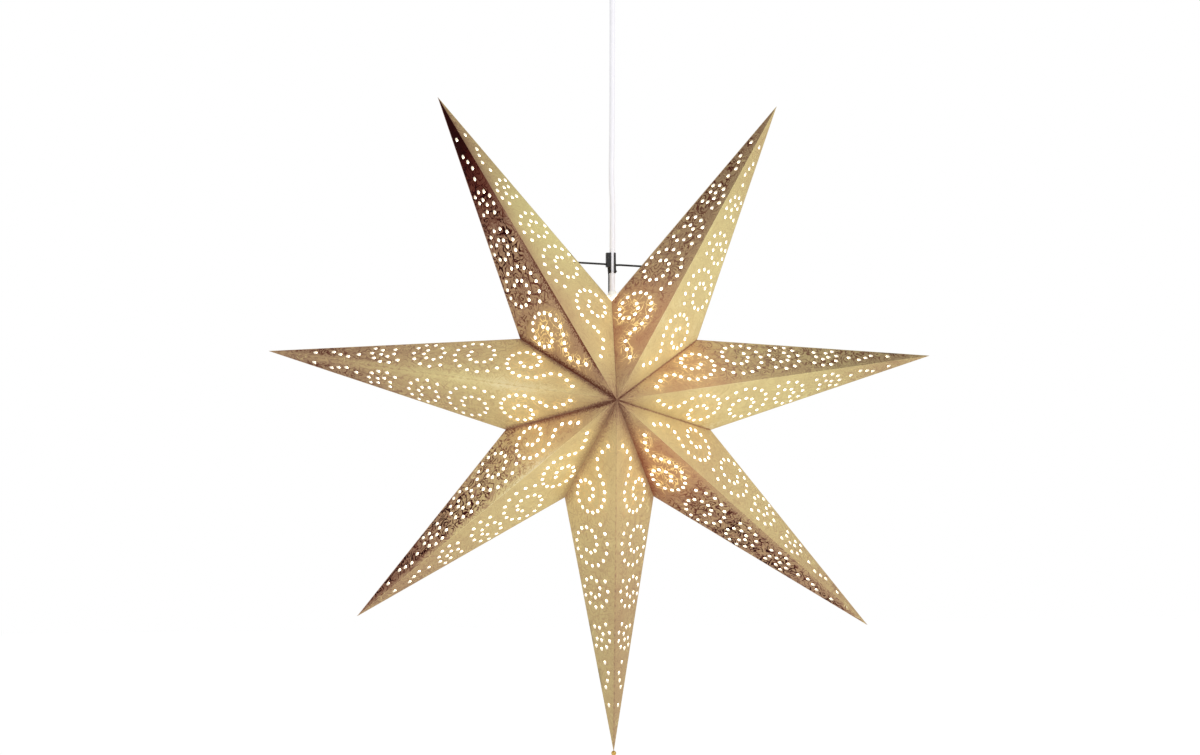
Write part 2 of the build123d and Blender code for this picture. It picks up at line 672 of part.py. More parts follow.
# Clamp screw in the hanger's barrel
screw_tip, head_seat = hanger_bore + 0.05, hanger_radius + 0.3
with BuildPart() as hanger_screw:
    with BuildSketch(Plane.XZ.offset(screw_tip)):
        with Locations((0, screw_height)):
            Circle(clamp_radius)
    extrude(amount=head_seat - screw_tip)
    with BuildSketch(Plane.XZ.offset(head_seat)):
        with Locations((0, screw_height)):
            Circle(clamp_head)
    extrude(amount=clamp_head_height)
    with BuildSketch(Plane.XZ.offset(head_seat + clamp_head_height)):
        with Locations((0, screw_height)):
            Rectangle(2 * clamp_head, clamp_slot)
    extrude(amount=-clamp_slot_depth, mode=Mode.SUBTRACT)
hanger_screw.part.label = "hanger_screw"
export_step(hanger_screw.part, "parts/hanger_screw.step")

# Terminal block on the two leads, behind the hanger
block_middle = hanger_radius + block_gap + block_width / 2
block_foot = lead_height + block_rise
block_top = block_foot + block_height
wire_spots = ((-lead_pitch, block_middle), (lead_pitch, block_middle))
with BuildPart() as terminal_block:
    with BuildSketch(Plane.XY.offset(block_foot)):
        with Locations((0, block_middle)):
            RectangleRounded(block_length, block_width, block_corner)
    extrude(amount=block_height)
    with BuildSketch(Plane.XY.offset(block_foot)):
        with Locations(*wire_spots):
            Circle(lead_radius)
    extrude(amount=wire_bore_depth, mode=Mode.SUBTRACT)
    with BuildSketch(Plane.XY.offset(block_top)):
        with Locations(*wire_spots):
            Circle(block_screw_radius + block_screw_fit)
    extrude(amount=-block_screw_sink - block_screw_length, mode=Mode.SUBTRACT)
terminal_block.part.label = "terminal_block"
export_step(terminal_block.part, "parts/terminal_block.step")

# Its two screws
with BuildPart() as terminal_screws:
    with BuildSketch(Plane.XY.offset(block_top - block_screw_sink)):
        with Locations(*wire_spots):
            Circle(block_screw_radius)
    extrude(amount=-block_screw_length)
    with BuildSketch(Plane.XY.offset(block_top - block_screw_sink)):
        with Locations(*wire_spots):
            Rectangle(2 * block_screw_radius, slot_width)
    extrude(amount=-block_slot_depth, mode=Mode.SUBTRACT)
terminal_screws.part.label = "terminal_screws"
export_step(terminal_screws.part, "parts/terminal_screws.step")

# The cord's two leads, from the barrel up into the block
with BuildPart() as lead_wires:
    for side in (-1, 1):
        near, far = side * lead_pitch / 2, side * lead_pitch
        with BuildLine() as lead:
            FilletPolyline(
                (near, hanger_radius - lead_seat, lead_height),
                (near, block_middle - lead_run_out, lead_height),
                (far, block_middle, lead_height), (far, block_middle, block_foot + wire_bore_depth),
                radius=lead_bend,
            )
        with BuildSketch(Plane(lead.line @ 0, z_dir=lead.line % 0)):
            Circle(lead_radius)
        sweep()
lead_wires.part.label = "lead_wires"
export_step(lead_wires.part, "parts/lead_wires.step")

# Ceiling cup: a thin moulded bowl, rim up, that stays on the cord by its collar
cup_rim = -cup_gap
cup_floor = cup_rim - cup_height
spigot_hole = collar_spigot + 0.1
with BuildPart() as ceiling_cup:
    with BuildSketch(Plane.XZ):
        with BuildLine():
            outer_wall = Line((cup_radius, cup_rim), (cup_radius, cup_rim - cup_band))
            outer_bend = TangentArc(outer_wall @ 1, (cup_floor_radius, cup_floor), tangent=(0, -1))
            Polyline(outer_bend @ 1, (spigot_hole, cup_floor), (spigot_hole, cup_floor + cup_wall),
                     (cup_floor_radius, cup_floor + cup_wall))
            inner_wall = Line((cup_radius - cup_wall, cup_rim), (cup_radius - cup_wall, cup_rim - cup_band))
            TangentArc(inner_wall @ 1, (cup_floor_radius, cup_floor + cup_wall), tangent=(0, -1))
            Line(outer_wall @ 0, inner_wall @ 0)
        make_face()
    revolve(axis=Axis.Z)
ceiling_cup.part.label = "ceiling_cup"
export_step(ceiling_cup.part, "parts/ceiling_cup.step")

# Collar under the cup: a spigot in the cup's floor and a friction bore on the cord
collar_low = cup_floor - collar_length
grub_height = cup_floor - collar_length / 3
with BuildPart() as cup_collar:
    with BuildSketch(Plane.XZ):
        with BuildLine():
            Polyline(
                (hanger_bore, cup_floor + collar_rise), (collar_spigot, cup_floor + collar_rise),
                (collar_spigot, cup_floor), (collar_radius, cup_floor),
                (collar_radius - collar_draft, collar_low + collar_lead),
                (hanger_bore + collar_foot, collar_low), (hanger_bore, collar_low), close=True,
            )
        make_face()
    revolve(axis=Axis.Z)
    with BuildSketch(Plane.XZ.offset(hanger_bore)):
        with Locations((0, grub_height)):
            Circle(grub_radius)
    extrude(amount=collar_radius, mode=Mode.SUBTRACT)
cup_collar.part.label = "cup_collar"
export_step(cup_collar.part, "parts/cup_collar.step")

# Grub screw in the collar
with BuildPart() as collar_screw:
    with BuildSketch(Plane.XZ.offset(screw_tip)):
        with Locations((0, grub_height)):
            Circle(grub_radius)
    extrude(amount=collar_radius - grub_sink - screw_tip)
    with BuildSketch(Plane.XZ.offset(collar_radius - grub_sink)):
        with Locations((0, grub_height)):
            Rectangle(2 * grub_radius, slot_width)
    extrude(amount=-block_slot_depth, mode=Mode.SUBTRACT)
collar_screw.part.label = "collar_screw"
export_step(collar_screw.part, "parts/collar_screw.step")

# Cord: taut from the hanger's barrel to its end inside the lampholder's cap
cord_end = cord_end_rise - star_drop
route = [(0, cord_top), *cord_route, (0, cord_end)]


def bend_radii(points):
    radii = []
    for before, corner, after in zip(points, points[1:], points[2:]):
        come, go = Vector(*corner) - Vector(*before), Vector(*after) - Vector(*corner)
        radii.append(0.45 * min(come.length, go.length) / tan(radians(come.get_angle(go)) / 2))
    return radii


with BuildPart() as cord:
    with BuildLine(Plane.XZ) as cord_line:
        FilletPolyline(*route, radius=bend_radii(route))
    with BuildSketch(Plane(cord_line.line @ 0, z_dir=cord_line.line % 0)):
        Circle(cord_radius)
    sweep()
cord_length = cord_line.wire().length
print("cord radii, mm:", [round(radius) for radius in bend_radii(route)])
print("cord length, mm:", round(cord_length, 1))
section = pi * cord_radius**2
print("cord volume over section times length:", round(cord.part.volume / (section * cord_length), 5))
cord.part.label = "cord"
export_step(cord.part, "parts/cord.step")
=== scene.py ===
from math import cos, hypot, pi, radians, sin

import bpy
import numpy as np
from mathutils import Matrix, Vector
from mathutils.geometry import delaunay_2d_cdt


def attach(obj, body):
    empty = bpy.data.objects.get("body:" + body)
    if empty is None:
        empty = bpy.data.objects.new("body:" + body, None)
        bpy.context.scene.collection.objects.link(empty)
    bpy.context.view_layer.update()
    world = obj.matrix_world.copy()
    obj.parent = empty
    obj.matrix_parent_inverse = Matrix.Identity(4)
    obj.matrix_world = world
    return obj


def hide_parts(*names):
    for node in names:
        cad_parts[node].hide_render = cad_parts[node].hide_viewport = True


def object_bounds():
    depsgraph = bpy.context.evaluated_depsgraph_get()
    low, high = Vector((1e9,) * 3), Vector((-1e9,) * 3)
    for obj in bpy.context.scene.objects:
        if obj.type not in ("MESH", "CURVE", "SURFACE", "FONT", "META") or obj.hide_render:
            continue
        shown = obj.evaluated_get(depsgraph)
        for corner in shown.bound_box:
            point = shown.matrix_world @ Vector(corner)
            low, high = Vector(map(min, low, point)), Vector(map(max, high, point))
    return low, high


# Paper star lantern. Metres, +Z up, the origin on the ceiling over the cord, the star facing -Y.
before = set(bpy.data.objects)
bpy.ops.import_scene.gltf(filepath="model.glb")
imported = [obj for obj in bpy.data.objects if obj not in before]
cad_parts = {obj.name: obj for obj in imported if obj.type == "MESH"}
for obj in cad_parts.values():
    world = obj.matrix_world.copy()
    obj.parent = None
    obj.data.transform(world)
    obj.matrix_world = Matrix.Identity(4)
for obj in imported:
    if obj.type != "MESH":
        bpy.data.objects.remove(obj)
cadBox = [list(corner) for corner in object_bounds()]

star = {
    "centre": (-0.0032, 0.0, -0.452),
    "halfDepth": 0.078,        # from the star's plane to the front and back apex
    "card": 0.0004,            # how thick the card is
    "names": ("upper_left", "left", "lower_left", "bottom", "lower_right", "right", "upper_right"),
    "bearing": (119.6, 171.9, 220.6, 270.8, 319.0, 367.7, 420.1),     # degrees from +X towards +Z
    "reach": (0.313, 0.308, 0.299, 0.321, 0.318, 0.301, 0.310),
    "valleyReach": 0.0975,     # from the star's centre to a valley's outer end
    "bow": 0.0011,             # how far the middle of a panel swells
    "sharpFold": 25.0,         # folds past this many degrees stay crisp
}
seam = {                       # the open valley at the top
    "bearing": 88.65,
    "reach": 0.0887,
    "gape": 0.0069,            # half its width
    "neckHole": 0.0061,        # radius of the hole round the lampholder's neck
    "neckSides": 28,
    "barRise": 0.1225,         # from the star's centre to the hanger bar
    "barHole": 0.0012,         # radius of the hole round the hanger bar
    "barSides": 12,
    "beyondBar": 0.01,         # an extra point this far past the bar, for better triangles
    "darker": 0.1,             # than its panel
    "clear": 0.02,             # far from any fold or hole, for the material
    "offApex": 0.1,            # keeps the strip out of the apex's streaks
}
centre = np.array(star["centre"])
pointCount = len(star["names"])


def toward(bearing, reach):
    # The place that lies reach away from the star's centre, at that bearing in its plane.
    return np.array((reach * cos(radians(bearing)), 0.0, reach * sin(radians(bearing))))


def pointTip(number):
    return toward(star["bearing"][number], star["reach"][number])


def apexOf(face):
    # The front apex for face -1, and the back one for 1.
    return np.array((0.0, face * star["halfDepth"], 0.0))


def valleyEnd(number, face):
    # Where two points part: halfway between their bearings. The open seam's ends stand in front of and
    # behind the lampholder's neck.
    if number in (0, pointCount):
        end = toward(seam["bearing"] + 360 * (number > 0), seam["reach"])
        return end + np.array((0.0, face * seam["gape"], 0.0))
    bearing = (star["bearing"][number - 1] + star["bearing"][number]) / 2
    return toward(bearing, star["valleyReach"])


def linear(red, green, blue):
    # A colour as seen, 0 to 255, as the linear light that shaders use.
    seen = np.array((red, green, blue)) / 255
    light = np.where(seen <= 0.04045, seen / 12.92, ((seen + 0.055) / 1.055) ** 2.4)
    return (*light, 1.0)


def feed(tree, made, sources, named):
    # A node's inputs, in order and then by name: a socket is linked, and anything else is its value.
    for slot, source in [*enumerate(sources), *named.items()]:
        if isinstance(source, bpy.types.NodeSocket):
            tree.links.new(source, made.inputs[slot])
        else:
            made.inputs[slot].default_value = source


def put(tree, kind, *sources, inputs=None, **settings):
    made = tree.nodes.new("ShaderNode" + kind)
    for key, value in settings.items():
        setattr(made, key, value)
    feed(tree, made, sources, inputs or {})
    return made


def usesGroup(tree, group, *sources, **inputs):
    made = tree.nodes.new("ShaderNodeGroup")
    made.node_tree = group
    feed(tree, made, sources, inputs)
    return made.outputs


def maths(tree, operation, *sources):
    return put(tree, "Math", *sources, operation=operation).outputs[0]


def times(tree, *factors):
    product = factors[0]
    for factor in factors[1:]:
        product = maths(tree, "MULTIPLY", product, factor)
    return product


def blendIn(tree, share, first, second, mode="MIX"):
    # Mixes two colours; the node's colour sockets are its sixth and seventh.
    made = put(tree, "Mix", data_type="RGBA", blend_type=mode, inputs={0: share, 6: first, 7: second})
    return made.outputs[2]


def fromTo(tree, value, low, high):
    # 0 at low and 1 at high, smoothly; low may be the larger.
    made = put(tree, "MapRange", value, low, high, 0.0, 1.0, interpolation_type="SMOOTHSTEP")
    return made.outputs[0]


def attribute(tree, name):
    return put(tree, "Attribute", attribute_name=name).outputs["Fac"]


def effect(name, takes, gives):
    # An empty shader group with named inputs and outputs.
    group = bpy.data.node_groups.new(name, "ShaderNodeTree")
    kinds = {"value": "NodeSocketFloat", "vector": "NodeSocketVector"}
    for label, (kind, value) in takes.items():
        socket = group.interface.new_socket(label, in_out="INPUT", socket_type=kinds[kind])
        if value is not None:
            socket.default_value = value
    for label, kind in gives.items():
        group.interface.new_socket(label, in_out="OUTPUT", socket_type=kinds[kind])
    return group, group.nodes.new("NodeGroupInput").outputs, group.nodes.new("NodeGroupOutput").inputs


scrollShape = {
    "wander": {"Scale": 1.1, "Detail": 1.5},
    "push": 0.9,                     # how far the wander moves a place, in cells
    "cells": {"Scale": 1.0, "Randomness": 0.8},
    "curlReach": (0.52, 0.44),       # in cells: where a curl has ended, and where it is full
    "breaks": {"Scale": 1.9, "Detail": 0.0},
    "breakEdge": 0.05,
}


def makeScrollPrint():
    # Curls of a scroll ornament: in each cell of a jittered grid a spiral runs out from the cell's
    # middle, and wavering stems lie along the cells' borders. Soft gaps break the strokes.
    group, given, result = effect(
        "scrollPrint",
        {"Vector": ("vector", None), "Cell": ("value", 0.011), "Turns": ("value", 2.2),
         "Line": ("value", 0.06), "Gaps": ("value", 0.42)},
        {"Mask": "value"},
    )
    halfLine = maths(group, "MULTIPLY", given["Line"], 0.5)
    cellSize = put(group, "CombineXYZ", given["Cell"], given["Cell"], 1.0)
    inCells = put(group, "VectorMath", given["Vector"], cellSize.outputs[0], operation="DIVIDE").outputs[0]
    wander = put(group, "TexNoise", inCells, noise_dimensions="2D", inputs=scrollShape["wander"])
    push = put(group, "VectorMath", wander.outputs["Color"], (0.5, 0.5, 0.5), operation="SUBTRACT")
    far = (scrollShape["push"], scrollShape["push"], 0.0)
    place = put(group, "VectorMath", push.outputs[0], far, inCells, operation="MULTIPLY_ADD").outputs[0]

    # the spiral: its phase is the turn round the cell's middle plus the reach from it times Turns
    cells = put(group, "TexVoronoi", place, voronoi_dimensions="2D", inputs=scrollShape["cells"])
    out = put(group, "VectorMath", place, cells.outputs["Position"], operation="SUBTRACT")
    apart = put(group, "SeparateXYZ", out.outputs[0]).outputs
    chance = put(group, "SeparateColor", cells.outputs["Color"]).outputs
    reach = put(group, "VectorMath", out.outputs[0], operation="LENGTH").outputs["Value"]
    angle = maths(group, "ARCTAN2", apart[1], apart[0])
    handed = maths(group, "MULTIPLY_ADD", maths(group, "GREATER_THAN", chance[0], 0.5), 2.0, -1.0)
    turned = maths(group, "MULTIPLY", maths(group, "DIVIDE", angle, 2 * pi), handed)
    wound = maths(group, "MULTIPLY_ADD", reach, given["Turns"], turned)
    phase = maths(group, "FRACT", maths(group, "ADD", wound, chance[1]))
    offPhase = maths(group, "ABSOLUTE", maths(group, "SUBTRACT", phase, 0.5))
    offLine = maths(group, "DIVIDE", offPhase, given["Turns"])
    curl = times(group, fromTo(group, offLine, given["Line"], halfLine),
                 fromTo(group, reach, *scrollShape["curlReach"]))

    border = put(group, "TexVoronoi", place, voronoi_dimensions="2D", feature="DISTANCE_TO_EDGE",
                 inputs=scrollShape["cells"])
    stem = fromTo(group, border.outputs["Distance"], given["Line"], halfLine)
    breaks = put(group, "TexNoise", place, noise_dimensions="2D", inputs=scrollShape["breaks"])
    kept = fromTo(group, breaks.outputs["Fac"], given["Gaps"],
                  maths(group, "ADD", given["Gaps"], scrollShape["breakEdge"]))
    group.links.new(times(group, maths(group, "MAXIMUM", curl, stem), kept), result["Mask"])
    return group


def makeRipples():
    # Wavering lines: the contour lines of a slow noise, as thin strokes.
    group, given, result = effect(
        "ripples",
        {"Vector": ("vector", None), "Scale": ("value", 90.0), "Count": ("value", 9.0),
         "Line": ("value", 0.2)},
        {"Mask": "value"},
    )
    slow = put(group, "TexNoise", given["Vector"], noise_dimensions="2D",
               inputs={"Scale": given["Scale"], "Detail": 1.0, "Distortion": 0.6})
    step = maths(group, "FRACT", maths(group, "MULTIPLY", slow.outputs["Fac"], given["Count"]))
    off = maths(group, "ABSOLUTE", maths(group, "SUBTRACT", step, 0.5))
    full = maths(group, "MULTIPLY", given["Line"], 0.3)
    group.links.new(fromTo(group, off, given["Line"], full), result["Mask"])
    return group


def makeFineGrain():
    # Paper and plastic grain: fibres at one scale and soft clouding at another.
    group, given, result = effect(
        "fineGrain",
        {"Vector": ("vector", None), "Fibre": ("value", 1500.0), "Cloud": ("value", 60.0)},
        {"Fibres": "value", "Clouds": "value"},
    )
    fibre = put(group, "TexNoise", given["Vector"], inputs={"Scale": given["Fibre"], "Detail": 3.0})
    cloud = put(group, "TexNoise", given["Vector"], inputs={"Scale": given["Cloud"], "Detail": 4.0})
    group.links.new(fibre.outputs["Fac"], result["Fibres"])
    group.links.new(cloud.outputs["Fac"], result["Clouds"])
    return group


scrollPrint = makeScrollPrint()
ripples = makeRipples()
fineGrain = makeFineGrain()


def startMaterial(name):
    made = bpy.data.materials.new(name)
    made.use_nodes = True
    tree = made.node_tree
    tree.nodes.clear()
    shader = put(tree, "BsdfPrincipled")
    output = put(tree, "OutputMaterial", shader.outputs[0])
    return made, tree, shader, output


goldPaper = {
    # how light, and the colour that this lightness has on the gold card; the dark end serves both the print
    # lines and the gold in painted shade and reflection
    "ramp": ((0.00, (38, 5, 5)), (0.10, (70, 20, 15)), (0.24, (104, 60, 46)), (0.37, (129, 92, 73)),
             (0.47, (152, 118, 95)), (0.58, (180, 147, 112)), (0.66, (196, 170, 125)),
             (0.75, (212, 191, 138)), (0.80, (223, 204, 148)), (0.95, (248, 240, 205))),
    "scroll": {"Cell": 0.0112, "Turns": 3.4, "Line": 0.072, "Gaps": 0.34},
    "ripple": {"Scale": 80.0, "Count": 10.0, "Line": 0.24},
    "panelShift": 0.4,               # between one panel's stretch of print and the next one's
    "bareRidge": (0.002, 0.009),     # the print starts this far from the ridge
    "patchBand": (0.34, 0.52),       # of the clouds: where dark print starts, and where it is full
    "offPatch": 0.25,                # how much dark print is left where there are no patches
    "fineInk": 0.034,
    "fineShare": 0.28,               # how much of the print's darkness the fine ripples have
    "fineMiddle": 0.4,               # below this the ripples lighten the card
    "paleInk": 0.085,
    "paleShare": 0.52,               # how much of the print's darkness the pale lines make up again
    "paleZone": (0.032, 0.006),      # from the outline: where pale lines start, and where they are full
    # strokes to frayFade: the painted shade along the valleys and beside the ridge, frayed in short strokes
    "strokes": {"Scale": 620.0, "Detail": 1.0},
    "strokeThrow": 2.6,
    "valleyFade": (1.5, 0.1),        # in widths of the valley's shade: where it has ended and is full
    "frayBand": 0.0046,
    "frayFade": (1.2, 0.0),
    "streakFan": (9.0, 55.0, 9.0),   # across the streaks, along them, and from panel to panel
    "streaks": {"Scale": 2.2, "Detail": 2.0, "Distortion": 0.5},
    "streakBand": (0.50, 0.60),
    "streakReach": (0.034, 0.006),   # from the apex: where streaks have ended, and where they are full
    "streakDepth": 0.13,
    "creaseHalf": 0.0007,
    "dotPitch": 0.007,
    "dotBand": (0.24, 0.12),         # half a dot's length in pitches, with its soft edge
    "betweenDots": 0.3,
    "rimBand": 0.0007,
    "rimDepth": 0.08,
    "grainDepth": 0.12,
    "edgeBand": (0.0010, 0.0003),
    "edgeShare": 0.6,
    "edgeLight": 0.62,
    "olive": (0.93, 1.16, 1.0, 1.0), # what the gold's colour is multiplied by where it is olive
    "litLine": (0.50, 1.0),          # how much of a scroll line's width lets light through
    "litRipple": 0.25,
    "unlitValley": (0.6, 1.6),       # in widths of the valley's shade: the lamp's glow stays out
    "warmShare": 0.45,
    "lampTint": (204, 124, 88),
    "litCard": (252, 224, 154),
    "lampColour": (255, 216, 140),
    "glow": 0.28,
    "roughness": (0.35, 0.20),       # the least, and how much the fibres add
    "specular": 0.01,
    "metallic": 0.20,
    "relief": {"Strength": 0.12, "Distance": 0.0003},
    "printRelief": 0.4,
}


def printedShade(tree, scrolls, fine, clouds):
    # Dark print lines in patches, fine ripples all over, and pale lines between the patches.
    look, ink = goldPaper, attribute(tree, "ink")
    patches = fromTo(tree, clouds, *look["patchBand"])
    printed = times(tree, scrolls, fromTo(tree, attribute(tree, "fromRidge"), *look["bareRidge"]),
                    maths(tree, "MULTIPLY_ADD", patches, 1 - look["offPatch"], look["offPatch"]))
    shade = maths(tree, "SUBTRACT", attribute(tree, "shade"), times(tree, printed, ink))
    fineDepth = maths(tree, "MULTIPLY_ADD", ink, look["fineShare"], look["fineInk"])
    rippled = times(tree, maths(tree, "SUBTRACT", fine, look["fineMiddle"]), fineDepth)
    shade = maths(tree, "SUBTRACT", shade, rippled)
    pale = times(tree, scrolls, maths(tree, "SUBTRACT", 1.0, patches),
                 fromTo(tree, attribute(tree, "fromOutline"), *look["paleZone"]))
    paleDepth = maths(tree, "MULTIPLY_ADD", ink, look["paleShare"], look["paleInk"])
    return maths(tree, "MULTIPLY_ADD", pale, paleDepth, shade)


def foldedShade(tree, shade, flat):
    # The painted shade along the valley and beside the ridge frays out in short strokes. Also gives how far a
    # place is from the valley, in widths of that painted shade.
    look = goldPaper
    strokes = put(tree, "TexNoise", flat, noise_dimensions="2D", inputs=look["strokes"])
    throw = look["strokeThrow"]
    ragged = maths(tree, "MULTIPLY_ADD", strokes.outputs["Fac"], throw, -throw / 2)
    widths = maths(tree, "DIVIDE", attribute(tree, "fromValley"), attribute(tree, "valleyBand"))
    fromShade = maths(tree, "ADD", widths, ragged)
    inValley = times(tree, fromTo(tree, fromShade, *look["valleyFade"]), attribute(tree, "valleyDepth"))
    shade = maths(tree, "SUBTRACT", shade, inValley)
    beside = maths(tree, "ADD", maths(tree, "DIVIDE", attribute(tree, "fromRidge"), look["frayBand"]), ragged)
    frayed = times(tree, fromTo(tree, beside, *look["frayFade"]), attribute(tree, "fray"))
    return maths(tree, "SUBTRACT", shade, frayed), fromShade


def streakedShade(tree, shade):
    # Fine streaks run out from the apex: a noise that is slow along them and quick across them.
    look = goldPaper
    along, fromRidge = attribute(tree, "along"), attribute(tree, "fromRidge")
    bearing = maths(tree, "ARCTAN2", fromRidge, along)
    squares = maths(tree, "ADD", maths(tree, "POWER", fromRidge, 2.0), maths(tree, "POWER", along, 2.0))
    fromApex = maths(tree, "SQRT", squares)
    axes = bearing, fromApex, attribute(tree, "shade")
    fan = put(tree, "CombineXYZ", *(times(tree, axis, size) for axis, size in zip(axes, look["streakFan"])))
    rays = put(tree, "TexNoise", fan.outputs[0], inputs=look["streaks"])
    streak = times(tree, fromTo(tree, rays.outputs["Fac"], *look["streakBand"]),
                   fromTo(tree, fromApex, *look["streakReach"]))
    return maths(tree, "MULTIPLY_ADD", streak, -look["streakDepth"], shade)


def creasedShade(tree, shade):
    # On the ridge lies a light line where crease is above 0, and a row of dark dots where it is below.
    look, crease, fromRidge = goldPaper, attribute(tree, "crease"), attribute(tree, "fromRidge")
    half, pitch = look["creaseHalf"], look["dotPitch"]
    dots = maths(tree, "PINGPONG", attribute(tree, "along"), pitch / 2)
    dots = fromTo(tree, dots, *(pitch * share for share in look["dotBand"]))
    dots = maths(tree, "MULTIPLY_ADD", dots, 1 - look["betweenDots"], look["betweenDots"])
    lightLine = times(tree, maths(tree, "MAXIMUM", crease, 0.0), fromTo(tree, fromRidge, half, 0.0))
    darkDots = times(tree, maths(tree, "MINIMUM", crease, 0.0), dots,
                     fromTo(tree, fromRidge, 2 * half, half / 2))
    return maths(tree, "ADD", shade, maths(tree, "ADD", lightLine, darkDots))


def edgedShade(tree, shade, grain):
    # Darker round the holes, grainy all over, and drawn towards one lightness along the outline.
    look = goldPaper
    rim = fromTo(tree, attribute(tree, "fromHole"), look["rimBand"], 0.0)
    shade = maths(tree, "MULTIPLY_ADD", rim, -look["rimDepth"], shade)
    for noise in (grain["Fibres"], grain["Clouds"]):
        shade = maths(tree, "MULTIPLY_ADD", maths(tree, "SUBTRACT", noise, 0.5), look["grainDepth"], shade)
    edge = times(tree, fromTo(tree, attribute(tree, "fromOutline"), *look["edgeBand"]), look["edgeShare"])
    return maths(tree, "MULTIPLY_ADD", edge, maths(tree, "SUBTRACT", look["edgeLight"], shade), shade)


def goldRamp(tree, shade):
    ramp = put(tree, "ValToRGB", shade)
    stops = ramp.color_ramp.elements
    stops[1].position = goldPaper["ramp"][-1][0]
    for place, _ in goldPaper["ramp"][1:-1]:
        stops.new(place)
    for stop, (place, colour) in zip(stops, goldPaper["ramp"]):
        stop.position, stop.color = place, linear(*colour)
    return ramp.outputs[0]


def makeGoldPaper():
    made, tree, shader, _ = startMaterial("goldPaper")
    look = goldPaper
    flat = put(tree, "UVMap", uv_map="card").outputs[0]
    grain = usesGroup(tree, fineGrain, put(tree, "TexCoord").outputs["Object"])
    scrolls = usesGroup(tree, scrollPrint, flat, **look["scroll"])["Mask"]
    fine = usesGroup(tree, ripples, flat, **look["ripple"])["Mask"]

    shade = printedShade(tree, scrolls, fine, grain["Clouds"])
    shade, fromShade = foldedShade(tree, shade, flat)
    shade = streakedShade(tree, shade)
    shade = creasedShade(tree, shade)
    shade = edgedShade(tree, shade, grain)
    gold = blendIn(tree, attribute(tree, "olive"), goldRamp(tree, shade), look["olive"], mode="MULTIPLY")

    # the lamp shines through the print's lines, where the card has no metal on it
    lines = maths(tree, "MAXIMUM", fromTo(tree, scrolls, *look["litLine"]),
                  times(tree, fine, look["litRipple"]))
    shining = times(tree, lines, attribute(tree, "lampLight"), fromTo(tree, fromShade, *look["unlitValley"]))
    # painted light from the lamp: a warm tint round the lit holes, and the card lightened and glowing along
    # the lit lines
    warmth = times(tree, attribute(tree, "warmth"), look["warmShare"])
    warmed = blendIn(tree, warmth, gold, linear(*look["lampTint"]))
    bright = blendIn(tree, shining, warmed, linear(*look["litCard"]))
    glowing = blendIn(tree, shining, (0.0, 0.0, 0.0, 1.0), linear(*look["lampColour"]))
    tree.links.new(bright, shader.inputs["Base Color"])
    tree.links.new(glowing, shader.inputs["Emission Color"])
    shader.inputs["Emission Strength"].default_value = look["glow"]
    shader.inputs["Specular IOR Level"].default_value = look["specular"]
    shader.inputs["Metallic"].default_value = look["metallic"]
    least, added = look["roughness"]
    tree.links.new(maths(tree, "MULTIPLY_ADD", grain["Fibres"], added, least), shader.inputs["Roughness"])
    height = maths(tree, "MULTIPLY_ADD", scrolls, look["printRelief"], grain["Fibres"])
    relief = put(tree, "Bump", inputs={**look["relief"], "Height": height})
    tree.links.new(relief.outputs[0], shader.inputs["Normal"])
    return made


plainGrain = {
    "fibreShare": 0.4,         # how much the fibres count beside the clouds
    "band": (0.4, 1.0),        # of the two together: from the darker colour to the full one
    "roughAdded": 0.15,        # by the fibres
    "roughLess": 0.07,
    "bumpDistance": 0.0004,
}


def makePlain(name, colour, roughness, metallic=0.0, cloudiness=0.06, fibre=900.0, bump=0.05,
              light=0.0, coat=0.0):
    # Plastic, metal or paper in one colour that varies a little, with a fine grain.
    made, tree, shader, _ = startMaterial(name)
    grain = usesGroup(tree, fineGrain, put(tree, "TexCoord").outputs["Object"], Fibre=fibre)
    base = linear(*colour)
    darker = tuple(part * (1 - 2 * cloudiness) for part in base[:3]) + (1.0,)
    mottle = maths(tree, "MULTIPLY_ADD", grain["Fibres"], plainGrain["fibreShare"], grain["Clouds"])
    painted = blendIn(tree, fromTo(tree, mottle, *plainGrain["band"]), darker, base)
    tree.links.new(painted, shader.inputs["Base Color"])
    rough = maths(tree, "MULTIPLY_ADD", grain["Fibres"], plainGrain["roughAdded"],
                  roughness - plainGrain["roughLess"])
    tree.links.new(rough, shader.inputs["Roughness"])
    shader.inputs["Metallic"].default_value = metallic
    shader.inputs["Coat Weight"].default_value = coat
    relief = put(tree, "Bump", inputs={"Strength": bump, "Distance": plainGrain["bumpDistance"],
                                       "Height": grain["Fibres"]})
    tree.links.new(relief.outputs[0], shader.inputs["Normal"])
    # a glow in the material's own colour where light is given: painted light on the card's inside and cut
    # edges, and the bulb filament's own glow
    if light:
        tree.links.new(painted, shader.inputs["Emission Color"])
        shader.inputs["Emission Strength"].default_value = light
    return made


glass = {"IOR": 1.45, "cloud": (255, 255, 255), "lightColour": (255, 246, 224)}


def makeGlass(name, colour, roughness, transmission, light=0.0):
    # Glass that is clear or milky, with a faint clouding; the bulb's own shines.
    made, tree, shader, _ = startMaterial(name)
    grain = usesGroup(tree, fineGrain, put(tree, "TexCoord").outputs["Object"])
    painted = blendIn(tree, grain["Clouds"], linear(*colour), linear(*glass["cloud"]))
    tree.links.new(painted, shader.inputs["Base Color"])
    shader.inputs["Roughness"].default_value = roughness
    shader.inputs["Transmission Weight"].default_value = transmission
    shader.inputs["IOR"].default_value = glass["IOR"]
    if light:
        shader.inputs["Emission Color"].default_value = linear(*glass["lightColour"])
        shader.inputs["Emission Strength"].default_value = light
    return made


